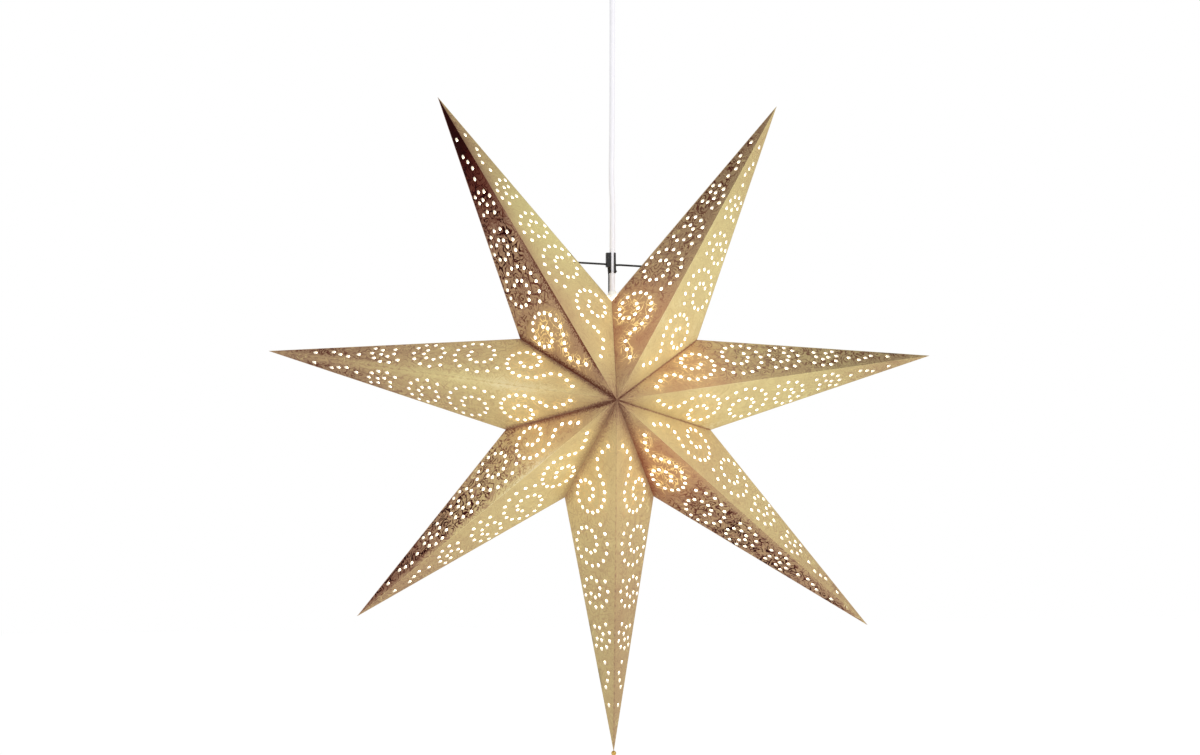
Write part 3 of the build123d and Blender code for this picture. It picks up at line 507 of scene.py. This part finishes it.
print("materials")
finish = {
    "gold": makeGoldPaper(),
    # the card's inside and its glue flaps glow white: painted light from the bulb
    "inside": makePlain("litInside", (255, 250, 238), 0.8, light=1.25, cloudiness=0.01),
    # the cut edges glow a little: painted light from the lamp inside
    "cutEdge": makePlain("cutCard", (244, 232, 208), 0.8, cloudiness=0.02, light=0.2),
    "bead": makePlain("goldBead", (196, 160, 84), 0.3, metallic=0.7),
    "blackWire": makePlain("blackWire", (13, 13, 15), 0.5, coat=0.05),
    "blackPlastic": makePlain("blackPlastic", (15, 15, 17), 0.5, fibre=1400.0, bump=0.1),
    "whitePlastic": makePlain("whitePlastic", (242, 242, 239), 0.35, cloudiness=0.015, fibre=700.0,
                              coat=0.2),
    "cord": makePlain("whiteSheath", (236, 235, 240), 0.45, cloudiness=0.015, fibre=2200.0, bump=0.08),
    "brass": makePlain("brass", (206, 170, 92), 0.3, metallic=0.9),
    "steel": makePlain("zincSteel", (186, 188, 190), 0.32, metallic=0.9),
    "bulbGlass": makeGlass("milkyGlass", (255, 252, 244), 0.25, 0.35, light=1.6),
    "clearGlass": makeGlass("clearGlass", (245, 250, 250), 0.03, 1.0),
    "tungsten": makePlain("tungsten", (90, 88, 86), 0.4, metallic=0.9, light=0.2),
    "lead": makePlain("solder", (150, 150, 152), 0.4, metallic=0.7),
}

# How the card looks on each point's two panels, the anticlockwise one first, front and back alike.
# tones and inks: how light it is, from 0 to 1, and how dark its print lines are, at four places along
# the ridge; the tones are the gold's own lightness with painted shade and painted reflection, which
# differ from panel to panel. ridge: how much lighter it is beside the ridge, and below 0 painted shade
# there. valley and depth: how wide and how deep the painted shade in its valley is. glow and warmth: how
# strongly the lamp lights up its print and tints the card round it, as painted light. fray: the ragged
# painted shade beside the ridge. crease: a light line on the ridge, or below 0 a row of dark dots. olive:
# how olive the gold turns outwards.
usualLook = {"ridge": 0.0, "valley": 0.0012, "depth": 0.20, "glow": 0.3, "warmth": 0.1, "fray": 0.0,
             "crease": 0.0, "olive": 0.0}


def cardLook(tones, inks, **others):
    return {**usualLook, "tones": tones, "inks": inks, **others}


cardPanels = {
    "upper_left": (
        cardLook((0.54, 0.59, 0.46, -0.05), (0.06, 0.14, 0.60, 0.06),
                 valley=0.0038, depth=0.30, glow=1.0, fray=0.34),
        cardLook((0.77, 0.76, 0.74, 0.52), (0.04, 0.02, 0.00, 0.05),
                 ridge=-0.16, valley=0.0005, depth=0.10, glow=0.15, olive=0.7)),
    "left": (
        cardLook((0.70, 0.76, 0.63, 0.42), (0.03, 0.04, 0.10, 0.26),
                 ridge=0.11, valley=0.0030, depth=0.24, glow=0.5, crease=-0.09, olive=0.3),
        cardLook((0.72, 0.74, 0.61, 0.42), (0.05, 0.07, 0.10, 0.30),
                 ridge=0.12, valley=0.0034, depth=0.24, glow=0.5, crease=-0.09, olive=0.3)),
    "lower_left": (
        cardLook((0.76, 0.79, 0.70, 0.53), (0.02, 0.02, 0.03, 0.12),
                 ridge=-0.02, valley=0.0062, depth=0.11, glow=0.35, crease=0.08, olive=0.2),
        cardLook((0.62, 0.72, 0.54, 0.31), (0.08, 0.20, 0.62, 0.52),
                 ridge=0.15, valley=0.0034, depth=0.26, glow=0.45, warmth=0.4, crease=0.08)),
    "bottom": (
        cardLook((0.72, 0.74, 0.62, 0.58), (0.04, 0.08, 0.05, 0.02),
                 ridge=-0.03, valley=0.0060, depth=0.11, glow=0.4, crease=-0.09, olive=0.3),
        cardLook((0.72, 0.75, 0.66, 0.64), (0.04, 0.08, 0.07, 0.02),
                 ridge=-0.03, valley=0.0062, depth=0.11, glow=0.4, crease=-0.09, olive=0.3)),
    "lower_right": (
        cardLook((0.75, 0.69, 0.69, 0.58), (0.02, 0.04, 0.05, 0.10),
                 ridge=-0.01, glow=0.25, olive=0.3),
        cardLook((0.63, 0.57, 0.50, 0.48), (0.06, 0.18, 0.62, 0.46),
                 ridge=0.07, valley=0.0056, depth=0.14, glow=1.0, warmth=0.8)),
    "right": (
        cardLook((0.68, 0.67, 0.57, 0.44), (0.06, 0.14, 0.22, 0.24),
                 ridge=-0.02, depth=0.22, glow=0.7, warmth=0.6, crease=0.08, olive=1.0),
        cardLook((0.76, 0.80, 0.75, 0.60), (0.02, 0.02, 0.03, 0.10),
                 ridge=-0.02, crease=0.08, olive=0.3)),
    "upper_right": (
        cardLook((0.60, 0.60, 0.49, 0.40), (0.08, 0.16, 0.26, 0.34),
                 ridge=0.02, valley=0.0005, depth=0.10, glow=1.0, warmth=0.7, crease=0.08, olive=0.7),
        cardLook((0.76, 0.79, 0.75, 0.64), (0.02, 0.02, 0.02, 0.05),
                 depth=0.22, crease=0.08, olive=0.3)),
}
# Where a look sets in and ends on a panel, in shares of its ridge, or in metres where it says so
zones = {
    "stations": (0.13, 0.28, 0.55, 0.87),    # the four places of tones and inks
    "heart": (0.02, 0.61),                   # by the apex, where all panels meet: its place and tone
    "besideRidge": 0.28,                     # of the panel's width there
    "leastBand": 0.0001,                     # metres
    "ridgeFull": 0.3,
    "fray": (0.05, 0.12, 0.40, 0.58),
    "warmth": (0.07, 0.17, 0.28, 0.42),
    "lamp": (0.07, 0.12, 0.30, 0.345),
    "glowBand": (0.0035, 0.0085),            # metres from the holes: where the glow is full, and gone
    "crease": ((0.1, 0.3), (0.4, 1.0)),
    "olive": ((0.3, 0.7), (0.0, 1.0)),
}
punching = {
    "radius": 0.0018,
    "sides": 14,
    "margin": 0.0010,          # card left between a hole and a fold
    # shares of the ridge and of the panel's width there
    "leadIn": ((0.132, 0.364), (0.153, 0.545), (0.177, 0.632), (0.203, 0.541)),
    "curls": (                 # the same shares, first and last radius, start in degrees, first pitch, holes
        (0.268, 0.620, 0.0220, 0.0066, 225, 0.0077, 18),
        (0.413, 0.565, 0.0232, 0.0080, 217, 0.0095, 20),
        (0.545, 0.570, 0.0172, 0.0060, 232, 0.0097, 15),
        (0.670, 0.610, 0.0142, 0.0043, 218, 0.0082, 13),
    ),
    "lastPitch": 0.0063,
    "steadyShare": 0.2,        # the share of a curl that keeps its first radius
    "tipSpots": ((0.748, 0.488), (0.7745, 0.337), (0.7985, 0.445), (0.820, 0.610), (0.869, 0.525)),
}


def curlSpots(u, v, firstRadius, lastRadius, start, firstPitch, count):
    # Steps from hole to hole round (u, v). A step is as long as the pitch, which falls evenly, and turns
    # by the pitch over the radius, which stays steady at first and then falls evenly.
    share = (np.arange(count - 1) + 0.5) / (count - 1)
    inward = np.clip(share - punching["steadyShare"], 0, None) / (1 - punching["steadyShare"])
    radius = firstRadius + (lastRadius - firstRadius) * inward
    pitch = firstPitch + (punching["lastPitch"] - firstPitch) * share
    turn = pitch / radius
    heading = radians(start) + pi / 2 + np.cumsum(turn) - turn / 2
    first = (u + firstRadius * cos(radians(start)), v + firstRadius * sin(radians(start)))
    steps = np.stack((pitch * np.cos(heading), pitch * np.sin(heading)), 1)
    return np.concatenate([[first], first + np.cumsum(steps, 0)])


def panelSpots(ridge, notchAlong, notchOut):
    # Hole centres on a panel: u along the ridge from the apex, v away from the ridge.
    def place(share, height):
        u = share * ridge
        width = notchOut * (u / notchAlong if u < notchAlong else (ridge - u) / (ridge - notchAlong))
        return u, height * width

    spots = [np.array([place(*spot) for spot in punching["leadIn"] + punching["tipSpots"]])]
    spots += [curlSpots(*place(share, height), *shape) for share, height, *shape in punching["curls"]]
    spots = np.concatenate(spots)
    beyond = ridge - notchAlong
    outer = (notchOut * (ridge - spots[:, 0]) - beyond * spots[:, 1]) / hypot(notchOut, beyond)
    inner = (notchOut * spots[:, 0] - notchAlong * spots[:, 1]) / hypot(notchOut, notchAlong)
    room = np.minimum(np.minimum(spots[:, 1], outer), inner)
    return spots[room > punching["radius"] + punching["margin"]]


def ring(middle, radius, sides):
    # Even steps round a circle: the middle plus the radius times (cosine, sine) of the angle.
    angles = np.arange(sides) * 2 * pi / sides
    return np.array(middle) + radius * np.stack((np.cos(angles), np.sin(angles)), 1)


def edgePoints(start, end, count):
    # Even steps along a line, its end left out.
    return start + (end - start) * np.linspace(0, 1, count, endpoint=False)[:, None]


def triangulate(outline, holes, loose):
    # Triangles inside the outline, with the holes' rims as edges; the loose points only refine them.
    edges, start = [], 0
    for loop in [outline, *holes]:
        count = len(loop)
        edges += [(start + i, start + (i + 1) % count) for i in range(count)]
        start += count
    points = np.concatenate([outline, *holes, loose])
    flat, _, faces, _, _, _ = delaunay_2d_cdt([Vector(p) for p in points], edges, [], 0, 1e-7)
    return np.array([tuple(p) for p in flat]), np.array([f for f in faces if len(f) == 3])


def insideLoop(places, loop):
    # Even-odd crossing count of each place against a closed loop, on whole arrays.
    x, y = places[:, 0:1], places[:, 1:2]
    x1, y1 = loop[:, 0], loop[:, 1]
    x2, y2 = np.roll(x1, -1), np.roll(y1, -1)
    with np.errstate(divide="ignore", invalid="ignore"):
        crosses = ((y1 > y) != (y2 > y)) & (x < (x2 - x1) * (y - y1) / (y2 - y1) + x1)
    return crosses.sum(1) % 2 == 1


def lineDistance(places, start, end):
    # The size of the cross product of the way out from start with the line's direction.
    along = (end - start) / np.linalg.norm(end - start)
    out = places - start
    return np.abs(out[:, 0] * along[1] - out[:, 1] * along[0])


def nearestSpot(places, spots):
    return np.linalg.norm(places[:, None] - spots[None], axis=2).min(1)


def edgeDistances(places, corners):
    # From the ridge, the outline and the valley, which are a panel's three edges.
    a, b, c = corners
    return places[:, 1], lineDistance(places, b, c), lineDistance(places, c, a)


folds = {
    "ridge": 44, "outline": 34, "valley": 16, "seamFoot": 6,         # steps along each kind of edge
    "gridStep": 0.0075,
    "foldRow": 0.0016,         # a close row of points beside the ridge
    "rowEnds": (0.01, 0.99),
    "rimStep": 0.0010,         # a ring of points this far outside each hole
    "rimClear": 0.0007,        # how far a ring's points keep from other holes
    "gridClear": 0.0016,
    "edgeClear": 0.0008,
}


def panelNet(corners, spots):
    # The flat panel as triangles: points in even steps along its edges, a ring round each hole, a grid
    # whose every second row is shifted by half a step, and a close row beside the ridge.
    a, b, c = corners
    radius, sides, step = punching["radius"], punching["sides"], folds["gridStep"]
    outline = np.concatenate([edgePoints(a, b, folds["ridge"]), edgePoints(b, c, folds["outline"]),
                              edgePoints(c, a, folds["valley"])])
    holes = [ring(spot, radius, sides) for spot in spots]
    rims = np.concatenate([ring(spot, radius + folds["rimStep"], sides) for spot in spots])
    grid = np.stack(np.meshgrid(np.arange(0, b[0], step), np.arange(0, c[1], step)), -1).reshape(-1, 2)
    grid[:, 0] += (grid[:, 1] / step % 2) * step / 2
    row = np.linspace(*folds["rowEnds"], folds["ridge"])[:, None] * (b - a) + (0.0, folds["foldRow"])
    loose = np.concatenate([rims, grid, row])
    isGrid = np.arange(len(loose)) >= len(rims)
    clear = np.where(isGrid, radius + folds["gridClear"], radius + folds["rimClear"])
    toEdge = np.minimum.reduce(edgeDistances(loose, corners))
    kept = insideLoop(loose, corners) & (toEdge > folds["edgeClear"]) & (nearestSpot(loose, spots) > clear)
    flat, faces = triangulate(outline, holes, loose[kept])
    middles = flat[faces].mean(1)
    inHole = nearestSpot(middles, spots) < radius * cos(pi / sides)
    return flat, faces[insideLoop(middles, corners) & ~inHole]


def panelValues(flat, corners, spots, panel, shift):
    # What the material reads at each point of a panel.
    (ridge, _), (notchAlong, notchOut) = corners[1:]
    fromRidge, fromOutline, fromValley = edgeDistances(flat, corners)
    share = np.clip(flat[:, 0] / ridge, 0, 1)

    def within(name):
        # 1 between a zone's two middle places, falling to 0 at its ends
        return np.interp(share, zones[name], (0.0, 1.0, 1.0, 0.0))

    # The card's lightness: the gold's tones with painted shade and reflection from panel to panel, lighter
    # beside the ridge, or darker there as painted shade where ridge is below 0.
    heartPlace, heartTone = zones["heart"]
    shade = np.interp(share, (heartPlace, *zones["stations"]), (heartTone, *panel["tones"]))
    width = notchOut * np.minimum(share * ridge / notchAlong, (1 - share) * ridge / (ridge - notchAlong))
    nearRidge = np.exp(-fromRidge / (zones["besideRidge"] * width + zones["leastBand"]))
    shade += panel["ridge"] * nearRidge * np.clip(share / zones["ridgeFull"], 0, 1)
    # the glow lies round the first curl and the holes that lead to it
    litSpots = spots[spots[:, 0] < zones["lamp"][-1] * ridge]
    nearLit = np.interp(nearestSpot(flat, litSpots), zones["glowBand"], (1.0, 0.0))
    many = len(flat)
    return {
        "card": flat + (shift, 0.0),
        "along": flat[:, 0],
        "fromRidge": fromRidge,
        "fromOutline": fromOutline,
        "fromValley": fromValley,
        "fromHole": np.clip(nearestSpot(flat, spots) - punching["radius"], 0, None),
        "shade": shade,
        "ink": np.interp(share, zones["stations"], panel["inks"]),
        "lampLight": panel["glow"] * within("lamp") * nearLit,
        "valleyBand": np.full(many, panel["valley"]),
        "valleyDepth": np.full(many, panel["depth"]),
        "fray": panel["fray"] * within("fray"),
        "crease": panel["crease"] * np.interp(share, *zones["crease"]),
        "warmth": panel["warmth"] * within("warmth"),
        "olive": panel["olive"] * np.interp(share, *zones["olive"]),
    }


def panelSkin(apex, tip, notch, panel, shift):
    # One panel: its flat net, laid along the ridge (u) and square to it towards the notch (v), and bowed
    # outwards by the product of the distances to its three edges, so that the folds stay straight. That
    # product is largest where each distance is a third of the panel's height, so 27 makes it 1 there.
    ridge = np.linalg.norm(tip - apex)
    along = (tip - apex) / ridge
    toNotch = notch - apex
    notchAlong = toNotch @ along
    across = toNotch - notchAlong * along
    notchOut = np.linalg.norm(across)
    across /= notchOut
    normal = np.cross(along, across)
    normal *= np.sign(normal @ apex)
    corners = np.array(((0.0, 0.0), (ridge, 0.0), (notchAlong, notchOut)))
    spots = panelSpots(ridge, notchAlong, notchOut)
    flat, faces = panelNet(corners, spots)
    a, b, c = corners
    heights = notchOut, lineDistance(a[None], b, c)[0], lineDistance(b[None], c, a)[0]
    rise = 27.0
    for distance, height in zip(edgeDistances(flat, corners), heights):
        rise = rise * (distance / height)
    places = apex + flat[:, :1] * along + flat[:, 1:] * across + (star["bow"] * rise)[:, None] * normal
    return places, faces, panelValues(flat, corners, spots, panel, shift)


def seamSkin(tip, seamFront, seamBack, tones):
    # The narrow flat strip beside the open seam: u runs from the middle of the seam's two ends to the
    # tip, v from back to front. The lampholder's neck and the hanger bar cut it in ellipses.
    foot = (seamFront + seamBack) / 2
    length, half = np.linalg.norm(tip - foot), np.linalg.norm(seamFront - seamBack) / 2
    along, across = (tip - foot) / length, (seamFront - seamBack) / (2 * half)
    a, b, c = corners = np.array(((0.0, half), (length, 0.0), (0.0, -half)))
    outline = np.concatenate([edgePoints(a, b, folds["outline"]), edgePoints(b, c, folds["outline"]),
                              edgePoints(c, a, folds["seamFoot"])])
    neckAt = (-centre[0] - foot[0]) / along[0]       # where the cord's line crosses the strip
    barAt = (seam["barRise"] - foot[2]) / along[2]
    neckHole, barHole = seam["neckHole"], seam["barHole"]
    neck = ring((0, 0), 1.0, seam["neckSides"]) * (neckHole / abs(along[0]), neckHole) + (neckAt, 0)
    bar = ring((0, 0), 1.0, seam["barSides"]) * (barHole / abs(along[2]), barHole) + (barAt, 0)
    flat, faces = triangulate(outline, [neck, bar], np.array([(barAt + seam["beyondBar"], 0.0)]))
    middles = flat[faces].mean(1)
    kept = insideLoop(middles, corners) & ~insideLoop(middles, neck) & ~insideLoop(middles, bar)
    places = foot + flat[:, :1] * along + flat[:, 1:] * across
    away, none = np.full(len(flat), seam["clear"]), np.zeros(len(flat))
    shade = np.interp(flat[:, 0] / length, (0, 1), (tones[0], tones[-1])) - seam["darker"]
    values = dict.fromkeys(("ink", "lampLight", "valleyDepth", "fray", "crease", "warmth", "olive"), none)
    values |= {"card": flat, "along": flat[:, 0] + seam["offApex"], "fromRidge": away, "fromValley": away,
               "fromHole": away, "valleyBand": away, "fromOutline": half - np.abs(flat[:, 1]),
               "shade": shade}
    return places, faces[kept], values


def outwards(places, faces):
    # Turns each triangle so that it faces away from the star's centre.
    corners = places[faces]
    normal = np.cross(corners[:, 1] - corners[:, 0], corners[:, 2] - corners[:, 0])
    wrong = (normal * corners.mean(1)).sum(1) < 0
    return np.where(wrong[:, None], faces[:, ::-1], faces)


def thickShell(places, faces, drawn):
    # The outer skin, the same skin drawn in towards the star's centre by one share, and a wall along
    # each open edge, which is an edge that no triangle uses the other way round.
    count = len(places)
    pairs = np.concatenate([faces[:, [0, 1]], faces[:, [1, 2]], faces[:, [2, 0]]])
    keys = pairs[:, 0] * count + pairs[:, 1]
    back = pairs[:, 1] * count + pairs[:, 0]
    rim = pairs[~np.isin(back, keys)]
    walls = np.stack((rim[:, 1], rim[:, 0], rim[:, 0] + count, rim[:, 1] + count), 1)
    return np.concatenate([places, places * drawn]), faces, faces[:, ::-1] + count, walls


def drawnIn(thicknesses):
    # The share that moves a panel inwards by so many thicknesses of the card: one less their sum over
    # the distance of the panel's plane from the star's centre.
    apex = apexOf(-1)
    normal = np.cross(pointTip(1) - apex, valleyEnd(1, -1) - apex)
    distance = abs(normal @ apex) / np.linalg.norm(normal)
    return 1 - thicknesses * star["card"] / distance


flap = {
    "width": 0.006,
    "ends": (0.20, 0.92),      # shares of the valley
    "steps": 8,
    "endWidth": 0.25,          # of its width
    "under": 1.1,              # how many thicknesses of card it lies under the panels' outer face
}


def flapSkin(apex, end, tip):
    # A glue flap: a strip along a valley, behind the next point's panel. Its far edge lies its width
    # out, and draws in at both ends as steeply as it is wide.
    length = np.linalg.norm(end - apex)
    along = (end - apex) / length
    out = (tip - apex) - along * ((tip - apex) @ along)
    out = out / np.linalg.norm(out) * flap["width"]
    steps, width, least = flap["steps"], flap["width"], flap["endWidth"]
    shares = np.linspace(*flap["ends"], steps + 1)
    near = apex + along * (shares * length)[:, None]
    slope = np.clip(np.minimum(shares - shares[0], shares[-1] - shares) * length, 0, width) / width
    far = near + out * (least + (1 - least) * slope)[:, None]
    rows = np.arange(steps)
    quads = np.stack((rows, rows + 1, rows + steps + 2, rows + steps + 1), 1)
    faces = np.concatenate([quads[:, [0, 1, 2]], quads[:, [0, 2, 3]]])
    return np.concatenate([near, far]) * drawnIn(flap["under"]), faces


def cardSkins(number):
    # A point's four panels, and its strip beside the open seam if it is one of the upper two.
    name = star["names"][number]
    skins = []
    for face in (-1, 1):
        for side, panel in zip((number + 1, number), cardPanels[name]):
            shift = goldPaper["panelShift"] * (4 * number + len(skins))
            skins.append(panelSkin(apexOf(face), pointTip(number), valleyEnd(side, face), panel, shift))
    if number in (0, pointCount - 1):
        side = 0 if number == 0 else pointCount
        tones = cardPanels[name][1]["tones"]
        skins.append(seamSkin(pointTip(number), valleyEnd(side, -1), valleyEnd(side, 1), tones))
    return skins


def weldSkins(skins):
    # One skin of all, with points at the same micrometre made one. The values stay with the corners.
    places = np.concatenate([skin[0] for skin in skins])
    starts = np.cumsum([0] + [len(skin[0]) for skin in skins])
    faces = np.concatenate([skin[1] + start for skin, start in zip(skins, starts)])
    faces = outwards(places, faces)
    values = {key: np.concatenate([skin[2][key] for skin in skins])[faces] for key in skins[0][2]}
    _, first, welded = np.unique(np.round(places * 1e6).astype(np.int64), axis=0,
                                 return_index=True, return_inverse=True)
    return places[first], welded.ravel()[faces], values


def paintCorners(mesh, values, count):
    # The print's map and the material's attributes, on the outer skin's corners, which come first.
    for key, value in values.items():
        wide = 2 if key == "card" else 1
        full = np.zeros(len(mesh.loops) * wide, np.float32)
        full[:count * wide] = value.ravel()
        if key == "card":
            mesh.uv_layers.new(name=key).data.foreach_set("uv", full)
        else:
            mesh.attributes.new(key, "FLOAT", "CORNER").data.foreach_set("value", full)


def newPiece(name, mesh, body, slot, *replaced):
    piece = bpy.data.objects.new(name, mesh)
    bpy.context.scene.collection.objects.link(piece)
    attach(piece, body)
    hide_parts(*replaced)
    return piece


def cardPoint(number):
    name = star["names"][number]
    places, faces, values = weldSkins(cardSkins(number))
    vertices, outer, inner, walls = thickShell(places, faces, drawnIn(1))
    parts, polygons = [vertices], [*outer.tolist(), *inner.tolist(), *walls.tolist()]
    kinds = [0] * len(outer) + [1] * len(inner) + [2] * len(walls)     # gold, inside and cut edge
    if number + 1 < pointCount:
        for face in (-1, 1):
            strip, triangles = flapSkin(apexOf(face), valleyEnd(number + 1, face), pointTip(number + 1))
            shell, *skins = thickShell(strip, outwards(strip, triangles), drawnIn(1))
            start = sum(len(part) for part in parts)
            flapFaces = [corners for skin in skins for corners in (skin + start).tolist()]
            parts.append(shell)
            polygons += flapFaces
            kinds += [1] * len(flapFaces)
    mesh = bpy.data.meshes.new("card_" + name)
    mesh.from_pydata((np.concatenate(parts) + centre).tolist(), [], polygons)
    for look in ("gold", "inside", "cutEdge"):
        mesh.materials.append(finish[look])
    mesh.polygons.foreach_set("material_index", np.array(kinds, np.int32))
    mesh.polygons.foreach_set("use_smooth", np.ones(len(mesh.polygons), bool))
    paintCorners(mesh, values, outer.size)
    mesh.update()
    mesh.validate()
    mesh.set_sharp_from_angle(angle=radians(star["sharpFold"]))
    return newPiece("card_" + name, mesh, "star", "gold_card", "point_" + name)


print("card points")
for number in range(pointCount):
    cardPoint(number)

# Cord: the same route as the solid's, taut from the lampholder up to its barrel under the ceiling hook
cordSize = {
    "route": ((0.0, -0.374), (0.0, -0.312), (0.0004, -0.274), (-0.0010, -0.252), (0.0, -0.205),
              (0.0, -0.0461)),
    "diameter": 0.005,
    "length": 0.328,
    "exit": (0.0, 0.0, -0.3535),
    "steps": 24,
    "roundness": 8,
}


def makeCord():
    curve = bpy.data.curves.new("hanging_cord", "CURVE")
    curve.dimensions = "3D"
    line = curve.splines.new("NURBS")
    line.points.add(len(cordSize["route"]) - 1)
    for point, (x, z) in zip(line.points, cordSize["route"]):
        point.co = (x, 0.0, z, 1.0)
    line.order_u = 3
    line.use_endpoint_u = True
    line.resolution_u = cordSize["steps"]
    curve.bevel_depth = cordSize["diameter"] / 2
    curve.bevel_resolution = cordSize["roundness"]
    curve.use_fill_caps = True
    curve.materials.append(finish["cord"])
    piece = newPiece("hanging_cord", curve, "pendant", "white_cord", "cord")


print("cord")
makeCord()

# Finishes of the parts that keep their solids
partFinish = {
    "bead": ("tip_bead",),
    "blackWire": ("hanger_bar", "drop_wire"),
    "blackPlastic": ("hanger_clip", "bulb_insulator"),
    "whitePlastic": ("holder_cap", "holder_body", "holder_insert", "cord_hanger", "ceiling_cup",
                     "cup_collar", "terminal_block"),
    "brass": ("screw_shell", "centre_contact", "contact_screws", "terminal_screws"),
    "steel": ("ceiling_plate", "ceiling_hook", "hook_nut", "hanging_ring", "hanger_screw", "collar_screw",
              "bulb_cap"),
    "bulbGlass": ("bulb_glass",),
    "clearGlass": ("bulb_stem",),
    "tungsten": ("bulb_filament",),
    "lead": ("bulb_contact", "lead_wires"),
}
print("finishes")
for look, nodes in partFinish.items():
    for node in nodes:
        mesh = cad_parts[node].data
        mesh.materials.clear()
        mesh.materials.append(finish[look])

# Camera, at the photograph's place. The picture is 1200 x 755 pixels, and starAt is the star's centre.
shot = {
    "distance": 1.5,
    "left": 5.20,              # degrees from straight ahead
    "above": 0.38,
    "lens": 49.5,
    "sensor": 36.0,
    "width": 1200,
    "middle": (600, 377.5),
    "starAt": (608.8, 399.4),
    "farthest": 50.0,
}


def makeCamera():
    data = bpy.data.cameras.new("photo_camera")
    camera = bpy.data.objects.new("photo_camera", data)
    bpy.context.scene.collection.objects.link(camera)
    yaw, pitch = radians(shot["left"]), radians(shot["above"])
    away = Vector((-sin(yaw) * cos(pitch), -cos(yaw) * cos(pitch), sin(pitch)))
    camera.location = Vector(centre) + away * shot["distance"]
    camera.rotation_euler = (-away).to_track_quat("-Z", "Y").to_euler()
    data.lens, data.sensor_width = shot["lens"], shot["sensor"]
    data.shift_x = -(shot["starAt"][0] - shot["middle"][0]) / shot["width"]
    data.shift_y = (shot["starAt"][1] - shot["middle"][1]) / shot["width"]
    data.clip_end = shot["farthest"]
    bpy.context.scene.camera = camera


studio = {
    "world": 0.85,
    "floorDrop": 0.75,         # below the lowest tip
    "floorSize": 12.0,
    "floorGrey": 0.86,
    "floorRoughness": 0.9,
    "floorLift": 0.27,         # light added where the camera sees the floor
    "lamps": (                 # name, place from the star's centre, size, power
        ("key", (1.3, -1.6, 0.3), 0.9, 14.0),
        ("fill", (-1.6, -1.4, -0.6), 1.2, 6.0),
    ),
}
white = (1.0, 1.0, 1.0, 1.0)


def makeWorld():
    # A soft light all round, and plain white where the camera sees it.
    world = bpy.data.worlds.new("studio")
    bpy.context.scene.world = world
    world.use_nodes = True
    tree = world.node_tree
    tree.nodes.clear()
    path = put(tree, "LightPath").outputs
    seen = maths(tree, "MAXIMUM", path["Is Camera Ray"], path["Is Transmission Ray"])
    around = put(tree, "Background", white, studio["world"])
    behind = put(tree, "Background", white, 1.0)
    mixed = put(tree, "MixShader", seen, around.outputs[0], behind.outputs[0])
    put(tree, "OutputWorld", mixed.outputs[0])


def makeFloor():
    mesh = bpy.data.meshes.new("floor")
    half, low = studio["floorSize"] / 2, cadBox[0][2] - studio["floorDrop"]
    corners = [(-half, -half, low), (half, -half, low), (half, half, low), (-half, half, low)]
    mesh.from_pydata(corners, [], [(0, 1, 2, 3)])
    floor = bpy.data.objects.new("floor", mesh)
    bpy.context.scene.collection.objects.link(floor)
    made, tree, shader, output = startMaterial("paleFloor")
    grey = studio["floorGrey"]
    shader.inputs["Base Color"].default_value = (grey, grey, grey, 1.0)
    shader.inputs["Roughness"].default_value = studio["floorRoughness"]
    path = put(tree, "LightPath").outputs
    seen = maths(tree, "MAXIMUM", path["Is Camera Ray"], path["Is Glossy Ray"])
    lift = put(tree, "Emission", white, times(tree, seen, studio["floorLift"]))
    both = put(tree, "AddShader", shader.outputs[0], lift.outputs[0])
    tree.links.new(both.outputs[0], output.inputs[0])
    mesh.materials.append(made)


def makeLamps():
    for name, place, size, power in studio["lamps"]:
        data = bpy.data.lights.new(name, "AREA")
        data.size, data.energy = size, power
        lamp = bpy.data.objects.new(name, data)
        lamp.location = Vector(place) + Vector(centre)
        lamp.rotation_euler = (Vector(centre) - lamp.location).to_track_quat("-Z", "Y").to_euler()
        bpy.context.scene.collection.objects.link(lamp)


print("camera and studio")
makeCamera()
makeWorld()
makeFloor()
makeLamps()
bpy.context.scene.view_settings.view_transform = "Standard"
